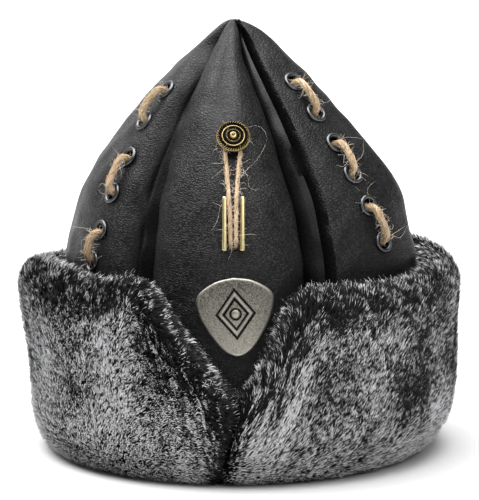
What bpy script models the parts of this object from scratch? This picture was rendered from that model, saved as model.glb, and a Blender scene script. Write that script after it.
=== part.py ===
"""Bork hat: a pointed leather crown of four gores inside a turned-up fur cuff with a notch at the front.

The hat stands on its rim, the front faces -Y and +Z is up. Everything is in metres.
"""

import math
from collections import namedtuple

import bmesh
import bpy
import numpy as np
from mathutils import Matrix, Vector

MM = 0.001

# Moves the rim's centre so that the whole hat is centred over the origin
HAT_PLACE = (-0.12 * MM, -1.9 * MM, 0.0)

# Walls and fits
LEATHER = 2.0 * MM
FACING = 1.5 * MM
FIT_GAP = 0.4 * MM
SEAM_GAP = 0.4 * MM

# The crown at a few heights: half widths to the left, right, front and back, and where the seams run
RIM_WIDTH = 176.0 * MM
RIM_DEPTH = 201.0 * MM
Section = namedtuple("Section", "height left right front back seam_left seam_right seam_depth")
CROWN = [
    Section(0.0, 88.0, 88.0, 100.5, 100.5, -50.0, 50.0, 82.6),
    Section(30.0, 90.0, 90.0, 101.5, 101.5, -46.0, 47.0, 80.0),
    Section(60.0, 92.0, 92.0, 101.0, 101.0, -43.0, 44.5, 76.5),
    Section(85.0, 93.5, 93.5, 99.5, 99.5, -41.0, 42.5, 72.5),
    Section(104.0, 93.0, 93.0, 97.0, 97.0, -39.5, 41.5, 69.0),
    Section(123.5, 88.2, 88.8, 92.5, 92.5, -38.3, 38.0, 63.5),
    Section(136.2, 84.0, 86.1, 88.0, 88.0, -37.0, 35.0, 59.0),
    Section(145.8, 79.2, 80.3, 83.5, 83.5, -35.0, 31.5, 55.0),
    Section(162.0, 68.1, 67.6, 74.5, 74.5, -30.5, 25.5, 47.0),
    Section(178.0, 55.9, 53.3, 64.0, 64.0, -25.8, 19.0, 38.0),
    Section(194.0, 41.1, 39.0, 50.0, 50.0, -20.0, 11.5, 28.0),
    Section(209.5, 24.6, 23.1, 31.0, 31.0, -13.0, 4.5, 16.0),
    Section(219.0, 14.0, 12.5, 17.0, 17.0, -8.5, 1.0, 8.5),
    Section(223.4, 8.8, 7.0, 8.6, 8.6, -5.9, -0.8, 4.0),
]
PEAK = 225.0 * MM
GORE_HEIGHTS = [0.0, 33.0, 64.0, 91.0, 112.0, 128.0, 143.0, 158.0, 173.0, 189.0, 205.0, 219.5]
# The last rows shrink the topmost outline toward the middle and close the peak
Row = namedtuple("Row", "height spread")
GORE_ROWS = [Row(height, 1.0) for height in GORE_HEIGHTS]
GORE_ROWS += [Row(222.3, 0.66), Row(224.5, 0.31), Row(225.2, 0.08)]
PEAK_CORNER = 0.4 * MM

# Each gore's lobe: how flat its middle is, how steep its flanks are, and how far its fold leans to the back
Lobe = namedtuple("Lobe", "flatness steepness lean steps")
LOBES = {
    "front": Lobe(2.3, 1.8, 0.0, [-0.87, -0.68, -0.48, -0.3, -0.14, 0.0, 0.14, 0.3, 0.48, 0.68, 0.87]),
    "right": Lobe(1.6, 1.6, -14.0, [-0.82, -0.7, -0.58, -0.45, -0.3, -0.15, 0.0, 0.28, 0.56, 0.82]),
    "back": Lobe(2.3, 1.8, 0.0, [-0.87, -0.6, -0.3, 0.0, 0.3, 0.6, 0.87]),
    "left": Lobe(1.75, 1.6, 12.0, [-0.82, -0.56, -0.28, 0.0, 0.15, 0.3, 0.45, 0.58, 0.7, 0.82]),
}
# Up to this height the lobes ease into the rim's oval
RIM_EASE = 55.0 * MM
SEAM_TURN_STEPS = [0.45, 1.0]
SEAM_TURN = 7.0 * MM
SEAM_TURN_AT_RIM = 2.5 * MM
SEAM_TURN_FULL_AT = 60.0 * MM
SEAM_TURN_ENDS_AT = 3.0 * MM
DIMPLE_DEPTH = 2.6 * MM
DIMPLE_HEIGHT = 198.0 * MM
DIMPLE_REACH = 18.0 * MM
TIP_FADE = 34.0 * MM

# The cuff: its top edge round the hat, in degrees from the front towards the wearer's left
Edge = namedtuple("Edge", "turn height")
CUFF_TOP = [
    Edge(4.2, 42.0),
    Edge(8.7, 51.0),
    Edge(13.8, 63.0),
    Edge(17.0, 75.0),
    Edge(19.5, 87.0),
    Edge(23.0, 96.0),
    Edge(28.0, 99.5),
    Edge(50.0, 97.5),
    Edge(72.0, 97.0),
    Edge(92.0, 100.0),
    Edge(112.0, 102.0),
    Edge(135.0, 103.0),
    Edge(180.0, 100.0),
    Edge(215.0, 96.0),
    Edge(245.0, 94.5),
    Edge(262.0, 96.0),
    Edge(280.0, 99.5),
    Edge(300.0, 103.5),
    Edge(314.0, 103.5),
    Edge(323.0, 100.5),
    Edge(330.0, 99.8),
    Edge(337.0, 103.2),
    Edge(341.5, 102.3),
    Edge(344.0, 98.0),
    Edge(347.3, 87.5),
    Edge(351.6, 76.5),
    Edge(356.0, 65.0),
    Edge(360.3, 52.0),
    Edge(364.2, 42.0),
]
# How far the fur's outer face stands off the rim's oval on each side, by height
Flare = namedtuple("Flare", "height left right")
CUFF_OUTER = [
    Flare(0.0, 8.0, 7.5),
    Flare(2.5, 11.5, 10.5),
    Flare(9.0, 17.5, 17.0),
    Flare(15.0, 20.3, 22.0),
    Flare(22.0, 22.0, 25.0),
    Flare(34.0, 22.6, 27.0),
    Flare(50.0, 23.8, 27.8),
    Flare(66.0, 26.4, 27.6),
    Flare(82.0, 28.6, 28.4),
    Flare(105.0, 29.2, 28.8),
]
FACING_FOOT = 0.5 * MM
FACING_FLARE = 0.105
LIP_HEIGHT = 9.0 * MM
LIP_OVERHANG = 1.6 * MM
LIP_GAP = 1.3 * MM
CUFF_TOP_ROUND = 15.0 * MM
CUFF_FOOT_ROUND = 11.0 * MM
FUR_LEAST = 2.5 * MM
CUFF_COLUMNS = 80
SEAM_LEAN_LOW = -1.9
SEAM_LEAN_HIGH = 4.2
SEAM_LEAN_TOP = 44.0 * MM
SEAM_LEAN_REACH = 14.0
SEAM_GROOVE = 5.0 * MM
SEAM_GROOVE_WIDTH = 9.0 * MM

# Locks of the fur: rows down the outer face, with every other column a lock's ridge
LOCK_ROWS = 5
LOCK_STEPS = [0.1, 1.0]
LOCK_DEPTH = 3.2 * MM
LOCK_VALLEY = 0.2
LOCK_TIP_DROP = 2.2 * MM

# Eyelets, by the gore's height and how far across it they lie, from the fold (0) to the seam (1)
Hole = namedtuple("Hole", "height across")
EYELETS = {
    "right": [
        Hole(194.0, 0.49),
        Hole(178.6, 0.485),
        Hole(163.8, 0.495),
        Hole(148.6, 0.51),
        Hole(132.8, 0.50),
        Hole(114.0, 0.44),
    ],
    "left": [
        Hole(189.4, 0.515),
        Hole(173.6, 0.51),
        Hole(155.8, 0.565),
        Hole(137.6, 0.57),
        Hole(118.6, 0.545),
        Hole(102.6, 0.52),
    ],
}
EYELET_SIDES = 9
# The eyelet's turned profile: radius, and how far out of the leather's face
Turn = namedtuple("Turn", "radius out")
EYELET_PROFILE = [
    Turn(3.55, -4.0),
    Turn(5.2, -4.0),
    Turn(5.2, -3.5),
    Turn(3.95, -3.5),
    Turn(3.95, 0.3),
    Turn(5.7, 0.3),
    Turn(4.8, 1.4),
    Turn(3.55, 0.9),
]
EYELET_HOLE = 4.55 * MM

# Lace: the jute cord through the eyelets, as its distance from each eyelet's axis and face
LACE_RADIUS = 2.0 * MM
LACE_SPACING = 3.2 * MM
LACE_OUTSIDE = [Turn(0.9, -1.2), Turn(1.0, 0.9), Turn(2.0, 3.1), Turn(4.2, 4.3)]
LACE_INSIDE = [Turn(0.7, -3.6), Turn(1.1, -5.4), Turn(3.4, -7.4)]
LACE_ARCH = 5.0 * MM
LACE_INSIDE_DEPTH = 8.0 * MM
LACE_TAIL = 15.0 * MM
KNOT_SWELL = 1.7

# Button: a turned cap on a shank, with a washer inside the crown
BUTTON_PLACE = (1.6 * MM, 168.5 * MM)
BUTTON_SIDES = 16
BUTTON_PROFILE = [
    Turn(0.0, -4.6),
    Turn(4.5, -4.6),
    Turn(4.5, -3.4),
    Turn(2.0, -3.4),
    Turn(2.0, 3.4),
    Turn(7.9, 3.4),
    Turn(8.6, 4.0),
    Turn(8.4, 5.0),
    Turn(7.5, 5.3),
    Turn(6.5, 4.6),
    Turn(5.6, 5.3),
    Turn(4.6, 4.7),
    Turn(3.4, 5.6),
    Turn(2.0, 5.2),
    Turn(1.4, 6.3),
    Turn(0.0, 6.6),
]
BUTTON_HOLE = 2.5 * MM

# Toggle: two brass bars on one cross bar
TOGGLE_PLACE = (3.4 * MM, 128.5 * MM)
BAR_RADIUS = 1.3 * MM
BAR_LENGTH = 27.5 * MM
BAR_SPACING = 8.9 * MM
BAR_SIDES = 10
CROSS_RADIUS = 0.6 * MM
CROSS_OUT = 1.15 * MM
CROSS_ABOVE_MIDDLE = 3.0 * MM
BAR_CLEARANCE = 0.5 * MM

# Loop: the doubled cord from the button over the toggle's cross bar and in through the crown
CORD_RADIUS = 1.2 * MM
CORD_SPACING = 4.2 * MM
CORD_HOLE = (3.5 * MM, 118.3 * MM)
CORD_HOLE_RADIUS = 3.3 * MM
CORD_HOLE_SIDES = 14
Strand = namedtuple("Strand", "centre aside height out")
BUTTON_LOOP = [
    Strand(3.5, 1.9, 117.2, -8.0),
    Strand(3.5, 1.7, 117.6, -4.0),
    Strand(3.5, 1.4, 118.2, -1.0),
    Strand(3.5, 1.35, 119.8, 1.4),
    Strand(3.4, 1.35, 122.8, 2.4),
    Strand(3.3, 1.35, 127.0, 2.9),
    Strand(3.2, 1.35, 131.5, 3.4),
    Strand(2.8, 1.6, 137.0, 3.7),
    Strand(2.5, 1.85, 142.0, 4.3),
    Strand(2.3, 2.3, 147.5, 2.9),
    Strand(2.0, 2.9, 154.5, 1.9),
    Strand(1.6, 3.6, 162.0, 1.8),
    Strand(1.6, 3.7, 167.5, 1.8),
    Strand(1.6, 2.8, 171.0, 1.8),
    Strand(1.6, 0.0, 172.6, 1.8),
]

# Badge: a shield plate with a raised lozenge, bent to the crown
BADGE_PLACE = (5.2 * MM, 83.5 * MM)
BADGE_TURN = math.radians(4.0)
BADGE_EDGE = 1.3 * MM
BADGE_RISE = 0.9 * MM
BADGE_BEVEL = 1.3 * MM
BADGE_BEND_RADIUS = 72.0 * MM
BADGE_BEND_LINES = [x * MM for x in (-13.0, -6.5, 0.5, 6.5, 13.0)]
BADGE_POINTS = 26
BADGE_CLEARANCE = 0.8 * MM
Outline = namedtuple("Outline", "across up")
BADGE_HALF = [
    Outline(0.0, 19.6),
    Outline(8.5, 18.0),
    Outline(15.6, 14.2),
    Outline(18.9, 10.6),
    Outline(19.2, 6.2),
    Outline(16.9, -1.8),
    Outline(10.5, -12.4),
    Outline(5.2, -17.8),
    Outline(0.0, -19.6),
]
LOZENGE_HALF_WIDTH = 9.0 * MM
LOZENGE_HALF_HEIGHT = 11.5 * MM
LOZENGE_CENTRE = 1.5 * MM
LOZENGE_SECTION = [(1.0, -0.3), (0.92, 0.9), (0.78, 0.9), (0.68, -0.3)]
BOSS_RADIUS = 2.2 * MM
POST_RADIUS = 1.1 * MM
POST_LENGTH = 5.0 * MM
POST_HOLE = 1.6 * MM

CUTTER_SIDES = 10


def clear_scene():
    for thing in list(bpy.data.objects):
        bpy.data.objects.remove(thing)


def make_material(name, colour, roughness, metallic=0.0):
    material = bpy.data.materials.new(name)
    material.use_nodes = True
    shader = material.node_tree.nodes["Principled BSDF"]
    shader.inputs["Base Color"].default_value = (*colour, 1.0)
    shader.inputs["Roughness"].default_value = roughness
    shader.inputs["Metallic"].default_value = metallic
    return material


def add_object(name, mesh, material, smooth_angle=45.0):
    """Links a mesh as a named object with its material, shaded smooth up to an angle."""
    thing = bpy.data.objects.new(name, mesh)
    bpy.context.scene.collection.objects.link(thing)
    mesh.materials.clear()
    mesh.materials.append(material)
    mesh.shade_smooth()
    mesh.set_sharp_from_angle(angle=math.radians(smooth_angle))
    return thing


def finish_mesh(bm, name):
    """Turns a closed bmesh into a mesh whose faces point out."""
    bmesh.ops.recalc_face_normals(bm, faces=bm.faces)
    mesh = bpy.data.meshes.new(name)
    bm.to_mesh(mesh)
    bm.free()
    return mesh


def smooth_columns(rows, height):
    """A table's columns at a height, along cubic curves through its rows."""
    table = np.array(rows) * MM
    heights, values = table[:, 0], table[:, 1:]
    slopes = np.gradient(values, heights, axis=0)
    low = int(np.clip(np.searchsorted(heights, height, side="right") - 1, 0, len(heights) - 2))
    span = heights[low + 1] - heights[low]
    t = (height - heights[low]) / span
    return (
        (2 * t**3 - 3 * t**2 + 1) * values[low]
        + (t**3 - 2 * t**2 + t) * span * slopes[low]
        + (3 * t**2 - 2 * t**3) * values[low + 1]
        + (t**3 - t**2) * span * slopes[low + 1]
    )


def smooth_path(points, spacing):
    """Points about one spacing apart along a Catmull-Rom curve through the given points."""
    points = np.array(points, float)
    ends = np.vstack([2 * points[0] - points[1], points, 2 * points[-1] - points[-2]])
    path = [points[0]]
    for a, b, c, d in zip(ends[:-3], ends[1:-2], ends[2:-1], ends[3:]):
        count = max(1, round(np.linalg.norm(c - b) / spacing))
        for t in np.arange(1, count + 1) / count:
            path.append(
                0.5 * (2 * b + (c - a) * t + (2 * a - 5 * b + 4 * c - d) * t**2 + (3 * b - a - 3 * c + d) * t**3)
            )
    return np.array(path)


# Crown surface


def gore_frame(name, height):
    """A gore's two seams and the top of its fold or bulge, at a height, in the plane of the section."""
    left, right, front, back, seam_left, seam_right, depth = smooth_columns(CROWN, height)
    lean = LOBES[name].lean * MM * math.sin(math.pi * min(height / PEAK, 1.0) ** 1.3)
    middle = (seam_left + seam_right) / 2
    front_left, front_right = np.array([seam_left, -depth]), np.array([seam_right, -depth])
    back_right, back_left = np.array([seam_right, depth]), np.array([seam_left, depth])
    return {
        "front": (front_left, front_right, np.array([middle, -front])),
        "right": (front_right, back_right, np.array([right, lean])),
        "back": (back_right, back_left, np.array([middle, back])),
        "left": (back_left, front_left, np.array([-left, lean])),
    }[name]


def lobe_points(name, height, steps):
    """Points across a gore, from one seam (-1) over its fold (0) to the other (1): a superellipse on the chord."""
    start, end, top = gore_frame(name, height)
    chord = end - start
    length = np.hypot(*chord)
    along = chord / length
    outward = np.array([along[1], -along[0]])
    fold, bulge = (top - start) @ along / length, (top - start) @ outward
    angle = np.asarray(steps, float) * math.pi / 2
    across = np.sign(angle) * np.abs(np.sin(angle)) ** (2 / LOBES[name].flatness)
    rise = np.abs(np.cos(angle)) ** (2 / LOBES[name].steepness)
    if name == "front":
        near_peak = math.exp(-(((height - DIMPLE_HEIGHT) / DIMPLE_REACH) ** 2))
        dimple = DIMPLE_DEPTH * near_peak * np.exp(-((across / 0.3) ** 2))
    else:
        dimple = 0.0
    place = fold + np.where(across < 0, fold * across, (1 - fold) * across)
    points = start + np.outer(place * length, along) + np.outer(bulge * rise - dimple, outward)
    oval = points / np.hypot(points[:, :1] / (RIM_WIDTH / 2), points[:, 1:] / (RIM_DEPTH / 2))
    above = min(height / RIM_EASE, 1.0)
    return oval + (points - oval) * above**2 * (3 - 2 * above)


def seam_turn(name, height, side):
    """The gore's edge rolled into the seam: from the lobe round the seam's mouth and in towards the axis."""
    start, end, _ = gore_frame(name, height)
    mouth = end if side > 0 else start
    neighbour = start if side > 0 else end
    seam_left, seam_right = smooth_columns(CROWN, height)[4:6]
    centre = np.array([(seam_left + seam_right) / 2, 0.0])
    inward = centre - mouth
    reach = np.hypot(*inward)
    inward = inward / reach
    own_side = np.array([-inward[1], inward[0]])
    own_side *= math.copysign(1.0, (neighbour - mouth) @ own_side)
    rim_share = min(height / SEAM_TURN_FULL_AT, 1.0)
    depth = SEAM_TURN_AT_RIM + (SEAM_TURN - SEAM_TURN_AT_RIM) * rim_share
    depth = min(depth, max(0.0, 0.5 * (reach - SEAM_TURN_ENDS_AT)))
    mouth = mouth + own_side * SEAM_GAP / 2
    first = lobe_points(name, height, [side * abs(LOBES[name].steps[-1])])[0]
    last = mouth + inward * depth
    return [(1 - t) ** 2 * first + 2 * t * (1 - t) * mouth + t**2 * last for t in SEAM_TURN_STEPS]


def gore_row(name, row):
    """One row of a gore's outer face, seam to seam, drawn in toward the gore's corner at the peak."""
    height = min(row.height, GORE_HEIGHTS[-1]) * MM
    flat = [
        *reversed(seam_turn(name, height, -1)),
        *lobe_points(name, height, LOBES[name].steps),
        *seam_turn(name, height, 1),
    ]
    start, end, top = gore_frame(name, height)
    seam_left, seam_right = smooth_columns(CROWN, height)[4:6]
    centre = np.array([(seam_left + seam_right) / 2, 0.0])
    corner = centre + PEAK_CORNER * (top - centre) / np.linalg.norm(top - centre)
    flat = corner + row.spread * (np.array(flat) - corner)
    return np.c_[flat, np.full(len(flat), row.height * MM)]


def surface_point(name, height, step):
    x, y = lobe_points(name, height, [step])[0]
    return np.array([x, y, height])


def surface_frame(name, height, step):
    """A point on a gore with its outward normal."""
    here = surface_point(name, height, step)
    nudge = 0.5 * MM
    across = surface_point(name, height, step + 0.02) - surface_point(name, height, step - 0.02)
    up = surface_point(name, height + nudge, step) - surface_point(name, height - nudge, step)
    normal = np.cross(across, up)
    return here, normal / np.linalg.norm(normal)


def front_place(across, height, out=0.0):
    """A point of the front gore by its X and height, lifted off the leather along its normal."""
    steps = np.linspace(-0.9, 0.9, 61)
    xs = lobe_points("front", height, steps)[:, 0]
    here, normal = surface_frame("front", height, float(np.interp(across, xs, steps)))
    return here + normal * out


def front_frame(across, height):
    """A matrix with Z out of the front gore and Y up along it."""
    here = front_place(across, height)
    out = Vector(front_place(across, height, 1.0) - here)
    side = Vector((0, 0, 1)).cross(out).normalized()
    up = out.cross(side)
    return Matrix.Translation(here) @ Matrix((side, up, out)).transposed().to_4x4()


def cut(thing, cutters):
    """Cuts the holes out of an object and removes the cutters."""
    for cutter in cutters:
        hole = thing.modifiers.new("hole", "BOOLEAN")
        hole.operation = "DIFFERENCE"
        hole.solver = "EXACT"
        hole.object = cutter
    apply_modifiers(thing)
    for cutter in cutters:
        bpy.data.objects.remove(cutter)


def apply_modifiers(thing):
    evaluated = thing.evaluated_get(bpy.context.evaluated_depsgraph_get())
    mesh = bpy.data.meshes.new_from_object(evaluated)
    thing.modifiers.clear()
    thing.data = mesh


def drill(place, normal, radius, sides=CUTTER_SIDES):
    """A cylinder through the wall at a place, for cutting."""
    bm = bmesh.new()
    turn = Vector(normal).to_track_quat("Z", "Y").to_matrix().to_4x4()
    bmesh.ops.create_cone(
        bm,
        cap_ends=True,
        segments=sides,
        radius1=radius,
        radius2=radius,
        depth=8 * LEATHER,
        matrix=Matrix.Translation(place) @ turn,
    )
    mesh = finish_mesh(bm, "drill")
    thing = bpy.data.objects.new("drill", mesh)
    bpy.context.scene.collection.objects.link(thing)
    thing.hide_render = True
    thing.display_type = "WIRE"
    return thing


def make_gore(name, leather):
    """A gore: its outer face, an inner face one wall thickness behind, and the edges between."""
    outer = np.array([gore_row(name, row) for row in GORE_ROWS])
    down, across = np.gradient(outer, axis=0), np.gradient(outer, axis=1)
    normals = np.cross(across, down)
    normals /= np.linalg.norm(normals, axis=2, keepdims=True)
    centre = (outer[:, :1, :2] + outer[:, -1:, :2]) / 2
    reach = np.linalg.norm(outer[:, :, :2] - centre, axis=2, keepdims=True)
    fade = np.clip(reach / TIP_FADE, 0.0, 1.0)
    inner = outer - LEATHER * normals * np.concatenate([fade, fade, np.ones_like(fade)], axis=2)
    inner[0, :, 2] = 0.0
    inner[-1, :, 2] = outer[-1, :, 2] - LEATHER
    bm = bmesh.new()
    faces = [[[bm.verts.new(p) for p in row] for row in sheet] for sheet in (outer, inner)]
    rows, columns = outer.shape[:2]
    for sheet in faces:
        for i in range(rows - 1):
            for j in range(columns - 1):
                bm.faces.new([sheet[i][j], sheet[i][j + 1], sheet[i + 1][j + 1], sheet[i + 1][j]])
    border = [(0, j) for j in range(columns)] + [(i, columns - 1) for i in range(1, rows)]
    border += [(rows - 1, j) for j in range(columns - 2, -1, -1)] + [(i, 0) for i in range(rows - 2, 0, -1)]
    for (i, j), (k, m) in zip(border, border[1:] + border[:1]):
        bm.faces.new([faces[0][i][j], faces[0][k][m], faces[1][k][m], faces[1][i][j]])
    gore = add_object(f"crown_{name}_gore", finish_mesh(bm, name), leather, 60.0)
    cutters = [drill(*place, EYELET_HOLE) for place in eyelet_places(name)]
    if name == "front":
        for (x, height), radius in ((BUTTON_PLACE, BUTTON_HOLE), (BADGE_PLACE, POST_HOLE)):
            frame = front_frame(x, height)
            cutters.append(drill(frame.translation, frame.col[2].xyz, radius))
        frame = front_frame(*CORD_HOLE)
        cutters.append(drill(frame.translation, frame.col[2].xyz, CORD_HOLE_RADIUS, CORD_HOLE_SIDES))
    if cutters:
        cut(gore, cutters)


# Eyelets and laces


def eyelet_places(name):
    """The place and outward normal of each eyelet on a side gore, top to bottom."""
    toward_front = {"left": 1.0, "right": -1.0}
    return [
        surface_frame(name, hole.height * MM, toward_front[name] * hole.across) for hole in EYELETS.get(name, [])
    ]


def turned(name, profile, sides, material):
    """A solid turned from a profile round Z. A profile that starts and ends on the axis closes there."""
    points = [(turn.radius * MM, 0.0, turn.out * MM) for turn in profile]
    closed = points[0][0] > 0
    bm = bmesh.new()
    verts = [bm.verts.new(p) for p in points]
    edges = [bm.edges.new(pair) for pair in zip(verts, verts[1:])]
    if closed:
        edges.append(bm.edges.new((verts[-1], verts[0])))
    bmesh.ops.spin(
        bm, geom=verts + edges, cent=(0, 0, 0), axis=(0, 0, 1), angle=2 * math.pi, steps=sides, use_merge=False
    )
    bmesh.ops.remove_doubles(bm, verts=bm.verts, dist=0.01 * MM)
    return add_object(name, finish_mesh(bm, name), material, 40.0)


def make_eyelets(side, metal):
    for number, (place, normal) in enumerate(eyelet_places(side), 1):
        eyelet = turned(f"eyelet_{side}_{number}", EYELET_PROFILE, EYELET_SIDES, metal)
        eyelet.matrix_world = (
            Matrix.Translation(place) @ Vector(normal).to_track_quat("Z", "Y").to_matrix().to_4x4()
        )


def make_cord(name, points, radius, material, swell=1.0, resolution=1):
    """A round cord along points, with its two ends swollen into knots."""
    curve = bpy.data.curves.new(name, "CURVE")
    curve.dimensions = "3D"
    curve.bevel_depth = radius
    curve.bevel_resolution = resolution
    curve.use_fill_caps = True
    spline = curve.splines.new("POLY")
    spline.points.add(len(points) - 1)
    for point, place in zip(spline.points, points):
        point.co = (*place, 1.0)
    for index in (1, 2, -2, -3):
        spline.points[index].radius = swell
    thing = bpy.data.objects.new(name, curve)
    bpy.context.scene.collection.objects.link(thing)
    curve.materials.append(material)
    return thing


def lace_points(side):
    """The lace's route: out of one eyelet, over to the next, in, and along the inside to the one after."""
    places = eyelet_places(side)
    route = []
    for number, (place, normal) in enumerate(places):
        outside_first = number % 2 == 1
        partner, partner_normal = places[number - 1 if outside_first else number + 1]
        last = number in (0, len(places) - 1)
        inner_partner = places[number + 1 if outside_first else number - 1][0] if not last else partner
        over = partner - place
        over = (over - normal * (over @ normal)) / np.linalg.norm(over - normal * (over @ normal))
        under = inner_partner - place
        under = (under - normal * (under @ normal)) / np.linalg.norm(under - normal * (under @ normal))
        outside = [place + over * t.radius * MM + normal * t.out * MM for t in LACE_OUTSIDE]
        if last:
            inside = [place + over * 0.7 * MM - normal * LACE_TAIL * part for part in (0.3, 0.65, 1.0)]
        else:
            inside = [place + under * t.radius * MM + normal * t.out * MM for t in LACE_INSIDE]
            middle = (place + inner_partner) / 2 - normal * LACE_INSIDE_DEPTH
            if outside_first:
                inside.append(middle)
        if outside_first:
            route += outside[::-1] + inside
        else:
            arch = (place + partner) / 2 + (normal + partner_normal) / 2 * LACE_ARCH
            route += inside[::-1] + outside + [arch]
    return route


def make_lace(side, jute):
    make_cord(f"lace_{side}", smooth_path(lace_points(side), LACE_SPACING), LACE_RADIUS, jute, KNOT_SWELL)


# Button, toggle and their cords


def make_button(bronze):
    button = turned("button", BUTTON_PROFILE, BUTTON_SIDES, bronze)
    button.matrix_world = front_frame(*BUTTON_PLACE)


def join(base, others):
    """Unites the others with the base and removes them."""
    for other in others:
        union = base.modifiers.new("union", "BOOLEAN")
        union.operation = "UNION"
        union.solver = "EXACT"
        union.object = other
    apply_modifiers(base)
    for other in others:
        bpy.data.objects.remove(other)


def make_rod(name, radius, length, sides, matrix, material, bevel=0.0):
    bm = bmesh.new()
    bmesh.ops.create_cone(
        bm, cap_ends=True, segments=sides, radius1=radius, radius2=radius, depth=length, matrix=matrix
    )
    if bevel:
        rims = [e for e in bm.edges if len(e.link_faces) == 2 and any(len(f.verts) > 4 for f in e.link_faces)]
        bmesh.ops.bevel(bm, geom=rims, offset=bevel, segments=2, affect="EDGES", profile=0.5)
    return add_object(name, finish_mesh(bm, name), material, 50.0)


def make_toggle(brass):
    """Two upright bars soldered to a cross bar, lying on the front gore."""
    frame = front_frame(*TOGGLE_PLACE)
    upright = Matrix.Rotation(math.radians(-90), 4, "X")
    level = Matrix.Rotation(math.radians(90), 4, "Y")
    out = BAR_RADIUS + BAR_CLEARANCE
    toggle = make_rod("toggle", BAR_RADIUS, BAR_LENGTH, BAR_SIDES,
                      Matrix.Translation((-BAR_SPACING / 2, 0, out)) @ upright, brass, 0.5 * MM)
    other = make_rod("other_bar", BAR_RADIUS, BAR_LENGTH, BAR_SIDES,
                     Matrix.Translation((BAR_SPACING / 2, 0, out)) @ upright, brass, 0.5 * MM)
    cross = make_rod("cross_bar", CROSS_RADIUS, BAR_SPACING, BAR_SIDES - 4,
                     Matrix.Translation((0, CROSS_ABOVE_MIDDLE, CROSS_OUT)) @ level, brass)
    join(toggle, [other, cross])
    toggle.data.transform(frame)


def make_button_loop(jute):
    """The doubled cord: up one strand, round the button's shank and down the other."""
    one_side = [(row.centre - row.aside, row.height, row.out) for row in BUTTON_LOOP]
    other_side = [(row.centre + row.aside, row.height, row.out) for row in BUTTON_LOOP[-2::-1]]
    points = [front_place(x * MM, height * MM, out * MM) for x, height, out in one_side + other_side]
    make_cord("button_loop", smooth_path(points, CORD_SPACING), CORD_RADIUS, jute)


# Badge


def badge_outline():
    """The plate's outline, up the right side's points and mirrored, at even spacing."""
    half = np.array(BADGE_HALF) * MM
    ring = np.vstack([half, half[-2:0:-1] * [-1, 1]])
    closed = smooth_path(np.vstack([ring, ring[:1]]), 0.4 * MM)
    lengths = np.concatenate([[0], np.cumsum(np.linalg.norm(np.diff(closed, axis=0), axis=1))])
    at = np.linspace(0, lengths[-1], BADGE_POINTS, endpoint=False)
    return np.c_[np.interp(at, lengths, closed[:, 0]), np.interp(at, lengths, closed[:, 1])]


def make_badge(silver):
    bm = bmesh.new()
    plate = bm.faces.new([bm.verts.new((x, y, 0)) for x, y in badge_outline()])
    side = bmesh.ops.extrude_face_region(bm, geom=[plate])["geom"]
    bmesh.ops.translate(bm, verts=[v for v in side if isinstance(v, bmesh.types.BMVert)], vec=(0, 0, BADGE_EDGE))
    top = [f for f in side if isinstance(f, bmesh.types.BMFace)]
    bmesh.ops.recalc_face_normals(bm, faces=bm.faces)
    bmesh.ops.inset_region(bm, faces=top, thickness=BADGE_BEVEL, depth=BADGE_RISE)
    badge = add_object("badge", finish_mesh(bm, "badge"), silver, 30.0)
    face = BADGE_EDGE + BADGE_RISE
    raised = [make_lozenge(face, silver)]
    boss_place = Matrix.Translation((0, LOZENGE_CENTRE, face))
    raised.append(make_rod("boss", BOSS_RADIUS, 1.8 * MM, 12, boss_place, silver, 0.4 * MM))
    post_place = Matrix.Translation((0, 0, -POST_LENGTH / 2 + 0.3 * MM))
    raised.append(make_rod("post", POST_RADIUS, POST_LENGTH, 8, post_place, silver))
    join(badge, raised)
    bend(badge, BADGE_BEND_RADIUS, BADGE_BEND_LINES)
    lift = Matrix.Translation((0, 0, BADGE_CLEARANCE))
    badge.data.transform(front_frame(*BADGE_PLACE) @ lift @ Matrix.Rotation(BADGE_TURN, 4, "Z"))


def bend(thing, radius, lines):
    """Bends a flat solid about Y, after cutting its faces along lines of constant X."""
    bm = bmesh.new()
    bm.from_mesh(thing.data)
    for x in lines:
        geometry = [*bm.verts, *bm.edges, *bm.faces]
        bmesh.ops.bisect_plane(bm, geom=geometry, dist=1e-6, plane_co=(x, 0, 0), plane_no=(1, 0, 0))
    for vert in bm.verts:
        vert.co.z -= vert.co.x**2 / (2 * radius)
    bm.to_mesh(thing.data)
    bm.free()


def make_lozenge(face, material):
    """A raised lozenge outline with sloping sides, its foot sunk in the plate."""
    bm = bmesh.new()
    loops = []
    for reach, height in LOZENGE_SECTION:
        wide = LOZENGE_HALF_WIDTH * reach
        tall = LOZENGE_HALF_HEIGHT * reach
        corners = [(wide, 0), (0, tall), (-wide, 0), (0, -tall)]
        z = face + height * MM
        loops.append([bm.verts.new((x, y + LOZENGE_CENTRE, z)) for x, y in corners])
    for one, two in zip(loops, loops[1:] + loops[:1]):
        for a in range(4):
            b = (a + 1) % 4
            bm.faces.new([one[a], one[b], two[b], two[a]])
    return add_object("lozenge", finish_mesh(bm, "lozenge"), material)


# Cuff


def rim_point(turn, out, height):
    """A point standing off the rim's oval, at an angle from the front, in radians."""
    a, b = RIM_WIDTH / 2, RIM_DEPTH / 2
    oval = np.array([a * math.sin(turn), -b * math.cos(turn)])
    normal = np.array([math.sin(turn) / a, -math.cos(turn) / b])
    x, y = oval + out * normal / np.linalg.norm(normal)
    return np.array([x, y, height])


def cuff_turn(share, height):
    """The angle of a column of the cuff, which leans with the front seam near it."""
    seam = SEAM_LEAN_LOW + (SEAM_LEAN_HIGH - SEAM_LEAN_LOW) * min(height / SEAM_LEAN_TOP, 1.0)
    degrees = 360.0 * share
    near = math.exp(-min(degrees, 360.0 - degrees) / SEAM_LEAN_REACH)
    half_gap = math.degrees(SEAM_GAP / RIM_DEPTH)
    return math.radians(degrees + seam * near + half_gap * (1 - 2 * share))


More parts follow.
